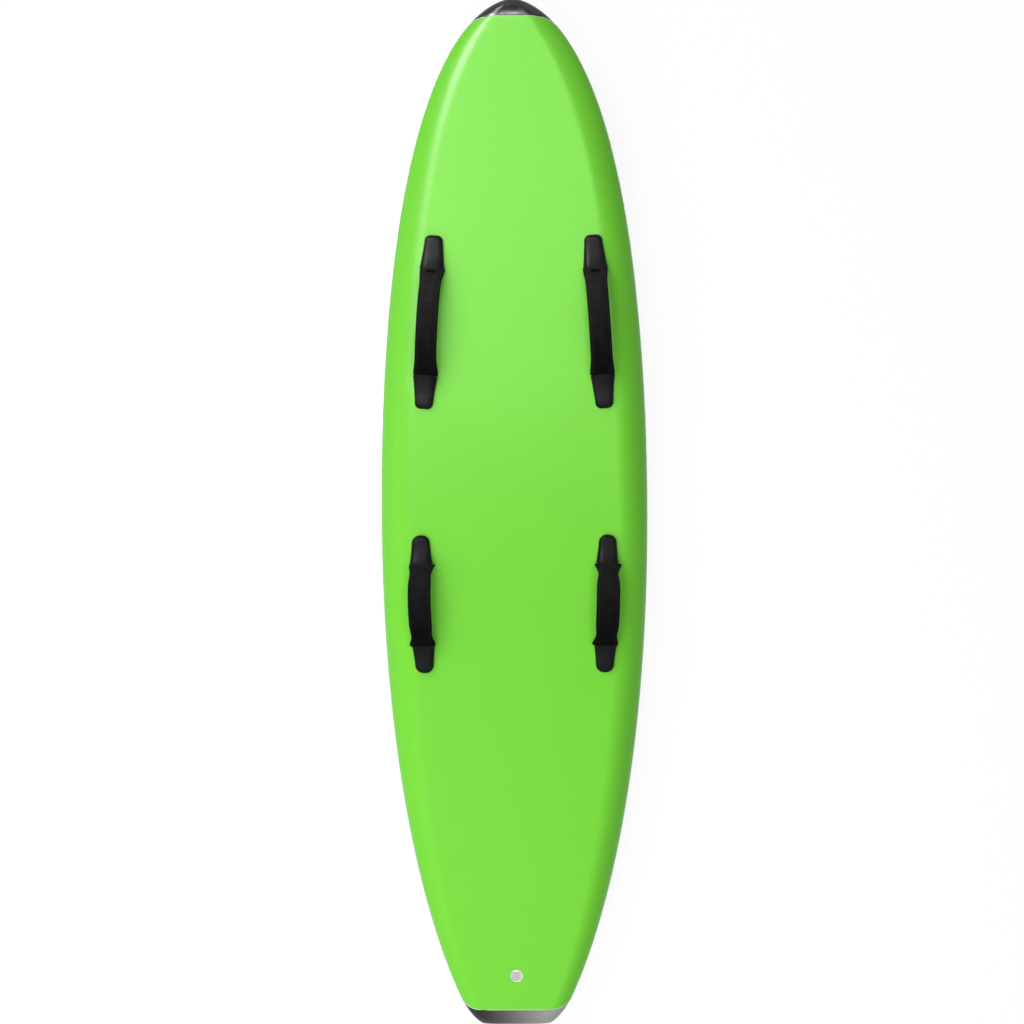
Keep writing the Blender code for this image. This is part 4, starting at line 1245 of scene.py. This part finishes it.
def build_object():
    knit, weave, sewing = neoprene(), webbing(), thread()
    rubber_cap = rubber("cap_rubber_moulded", 0.44, 0.06, 0.00010)
    flange_holes = []
    for kind, handle in HANDLES.items():
        for hand, side in (("left", -1), ("right", 1)):
            name = f"{kind}_{hand}"
            mouths = [cap_frame(handle, side, towards) for towards in (1, -1)]
            middle = grip_frame(mouths)
            make_grip(name, handle, middle, knit)
            make_stitches(name, handle, middle, sewing)
            for end, mouth in zip(("nose", "tail"), mouths):
                make_cap(f"{name}_{end}", handle, mouth, rubber_cap)
                make_strap_half(name, handle, mouth, middle, end, weave)
                flange = (handle, mouth, INSERT_FLANGE / 2, -0.010, 0.005, 8)
                flange_holes.append(drill(f"flange_hole_{name}_{end}", *flange))
    hole = tube_hole()
    make_deck(deck_foam(), [hole, *flange_holes])
    make_slick(bottom_sheet(), hole)
    for cutter in [hole, *flange_holes]:
        bpy.data.objects.remove(cutter)
    nose_rubber = rubber("bumper_rubber_moulded", 0.27, 0.25)
    # Tail bumper with a painted reflection on its +X side
    tail_rubber = rubber("tail_bumper_rubber_moulded", 0.50, 0.25, painted_reflection=True)
    make_bumper("nose_bumper", NOSE_LINE, NOSE_BUMPER, 1, nose_rubber)
    make_bumper("tail_bumper", TAIL_LINE, TAIL_BUMPER, -1, tail_rubber)
    make_tube(tube_plastic())
    metal = steel()
    kept = {
        "foam_core": core_foam(), "stringer": stringer_wood(),
        "screw": metal, "washer": metal, "insert": insert_plastic(),
    }
    for name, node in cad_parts.items():
        for start, finish in kept.items():
            if name.startswith(start):
                node.data.materials.clear()
                node.data.materials.append(finish)


# Floor, lights and camera


WORLD_LEVEL = 0.08
FLOOR_LIT = 0.42
FLOOR_SHADE = 0.12
FLOOR_GLOW = 0.9


def seen_rays(tree):
    """1 for camera, glossy and transmission rays, so that the background shows in reflections too."""
    path = tree.nodes.new("ShaderNodeLightPath")
    seen = path.outputs["Is Camera Ray"]
    for kind in ("Is Glossy Ray", "Is Transmission Ray"):
        most = tree.nodes.new("ShaderNodeMath")
        most.operation = "MAXIMUM"
        tree.links.new(seen, most.inputs[0])
        tree.links.new(path.outputs[kind], most.inputs[1])
        seen = most.outputs[0]
    return seen


def make_floor():
    """Floor that keeps the shadow but glows white in view and in reflections."""
    bpy.ops.mesh.primitive_plane_add(size=80, location=(0, 0, -0.0006))
    floor = bpy.context.object
    floor.name = "studio_floor"
    made = bpy.data.materials.new("studio_floor")
    made.use_nodes = True
    tree = made.node_tree
    tree.nodes.clear()
    link = tree.links.new
    kinds = ("OutputMaterial", "BsdfDiffuse", "BsdfDiffuse", "Emission", "AddShader", "MixShader")
    out, plain, faint, glow, add, mix = (tree.nodes.new(f"ShaderNode{kind}") for kind in kinds)
    for node, level in ((plain, FLOOR_LIT), (faint, FLOOR_SHADE), (glow, 1.0)):
        node.inputs["Color"].default_value = (level, level, level, 1)
    glow.inputs["Strength"].default_value = FLOOR_GLOW
    link(faint.outputs[0], add.inputs[0])
    link(glow.outputs[0], add.inputs[1])
    link(seen_rays(tree), mix.inputs[0])
    link(plain.outputs[0], mix.inputs[1])
    link(add.outputs[0], mix.inputs[2])
    link(mix.outputs[0], out.inputs["Surface"])
    floor.data.materials.append(made)


def make_world():
    world = bpy.data.worlds.new("studio")
    world.use_nodes = True
    tree = world.node_tree
    background = tree.nodes["Background"]
    background.inputs["Color"].default_value = (1, 1, 1, 1)
    level = tree.nodes.new("ShaderNodeMix")
    level.data_type = "FLOAT"
    level.inputs[2].default_value = WORLD_LEVEL
    level.inputs[3].default_value = 1.0
    tree.links.new(seen_rays(tree), level.inputs[0])
    tree.links.new(level.outputs[0], background.inputs["Strength"])
    bpy.context.scene.world = world


# Lamps as name, place, aim, side lengths and watts: most of the light comes from the left and the nose
LAMPS = (
    ("left_low", (-3.6, 0.3, 1.1), (0, 0, 0.1), (1.2, 1.2), 13.0),
    ("left_mid", (-3.4, 0.4, 2.3), (0, 0, 0.1), (1.2, 1.2), 9.0),
    ("left_steep", (-1.2, 0.3, 3.9), (0, 0, 0.1), (1.4, 1.4), 15.0),
    ("left_nose_mid", (-3.5, 3.59, 4.02), (0, 0.3, 0.1), (2.6, 2.6), 114.0),
    ("left_tail_mid", (-2.6, -2.2, 2.4), (0, -0.3, 0.1), (1.8, 1.8), 31.0),
    ("left_tail_high", (-1.2, -1.4, 3.6), (0, -0.2, 0.1), (1.8, 1.8), 41.0),
    ("nose_strip", (-1.3, 3.6, 1.5), (0, 0.95, 0.1), (2.8, 1.0), 9.0),
    ("nose_right", (1.4, 3.6, 1.2), (0, 0.8, 0.1), (1.6, 1.0), 10.0),
    ("right_high", (1.2, 0.3, 3.9), (0, 0, 0.1), (1.4, 1.4), 23.0),
    ("tail_high", (0.3, -2.6, 3.0), (0, -0.95, 0.05), (1.6, 1.6), 20.0),
    ("tail_right", (1.5, -3.6, 0.55), (0, -0.95, 0.05), (1.8, 0.7), 12.0),
)

# Narrow beams seen only as reflections, for the sheen along the ridges and on the bumpers, with
# the beam's full angle in degrees as their last value
GLINTS = (
    ("ridge_glint", (-2.3, 2.7, 3.2), (-0.15, 0.82, 0.1), (0.9, 0.9), 13.0, 24.0),
    ("inner_ridge_glint", (-1.6, 1.45, 3.3), (-0.1, 0.55, 0.1), (0.5, 0.5), 2.3, 28.0),
    ("nose_veil", (-0.2, 1.4, 3.6), (-0.1, 0.75, 0.1), (1.8, 1.2), 7.6, 30.0),
    ("nose_glint", (-1.2, 3.6, 2.1), (-0.02, 0.97, 0.1), (1.6, 0.4), 1.3, 18.0),
    ("tail_glint", (0.6, -4.0, 1.4), (0.02, -0.98, 0.06), (1.8, 1.2), 0.7, 18.0),
)


def make_lamp(name, place, aim, size, power, beam=180.0):
    lamp = bpy.data.lights.new(name, "AREA")
    lamp.shape = "RECTANGLE"
    lamp.size, lamp.size_y = size
    lamp.energy = power
    lamp.spread = math.radians(beam)
    made = add_object(name, lamp)
    made.location = place
    made.rotation_euler = (Vector(aim) - Vector(place)).to_track_quat("-Z", "Y").to_euler()
    return made


def make_camera():
    data = bpy.data.cameras.new("camera")
    data.sensor_width = 36
    data.lens = 54.0
    camera = add_object("camera", data)
    camera.location = (-0.0047, 0.010, 3.055)
    camera.rotation_euler = (0, 0, math.radians(-0.25))
    bpy.context.scene.camera = camera


build_object()
make_floor()
make_world()
for lamp in LAMPS:
    make_lamp(*lamp)
for glint in GLINTS:
    make_lamp(*glint).visible_diffuse = False
make_camera()
bpy.context.scene.view_settings.view_transform = "Standard"
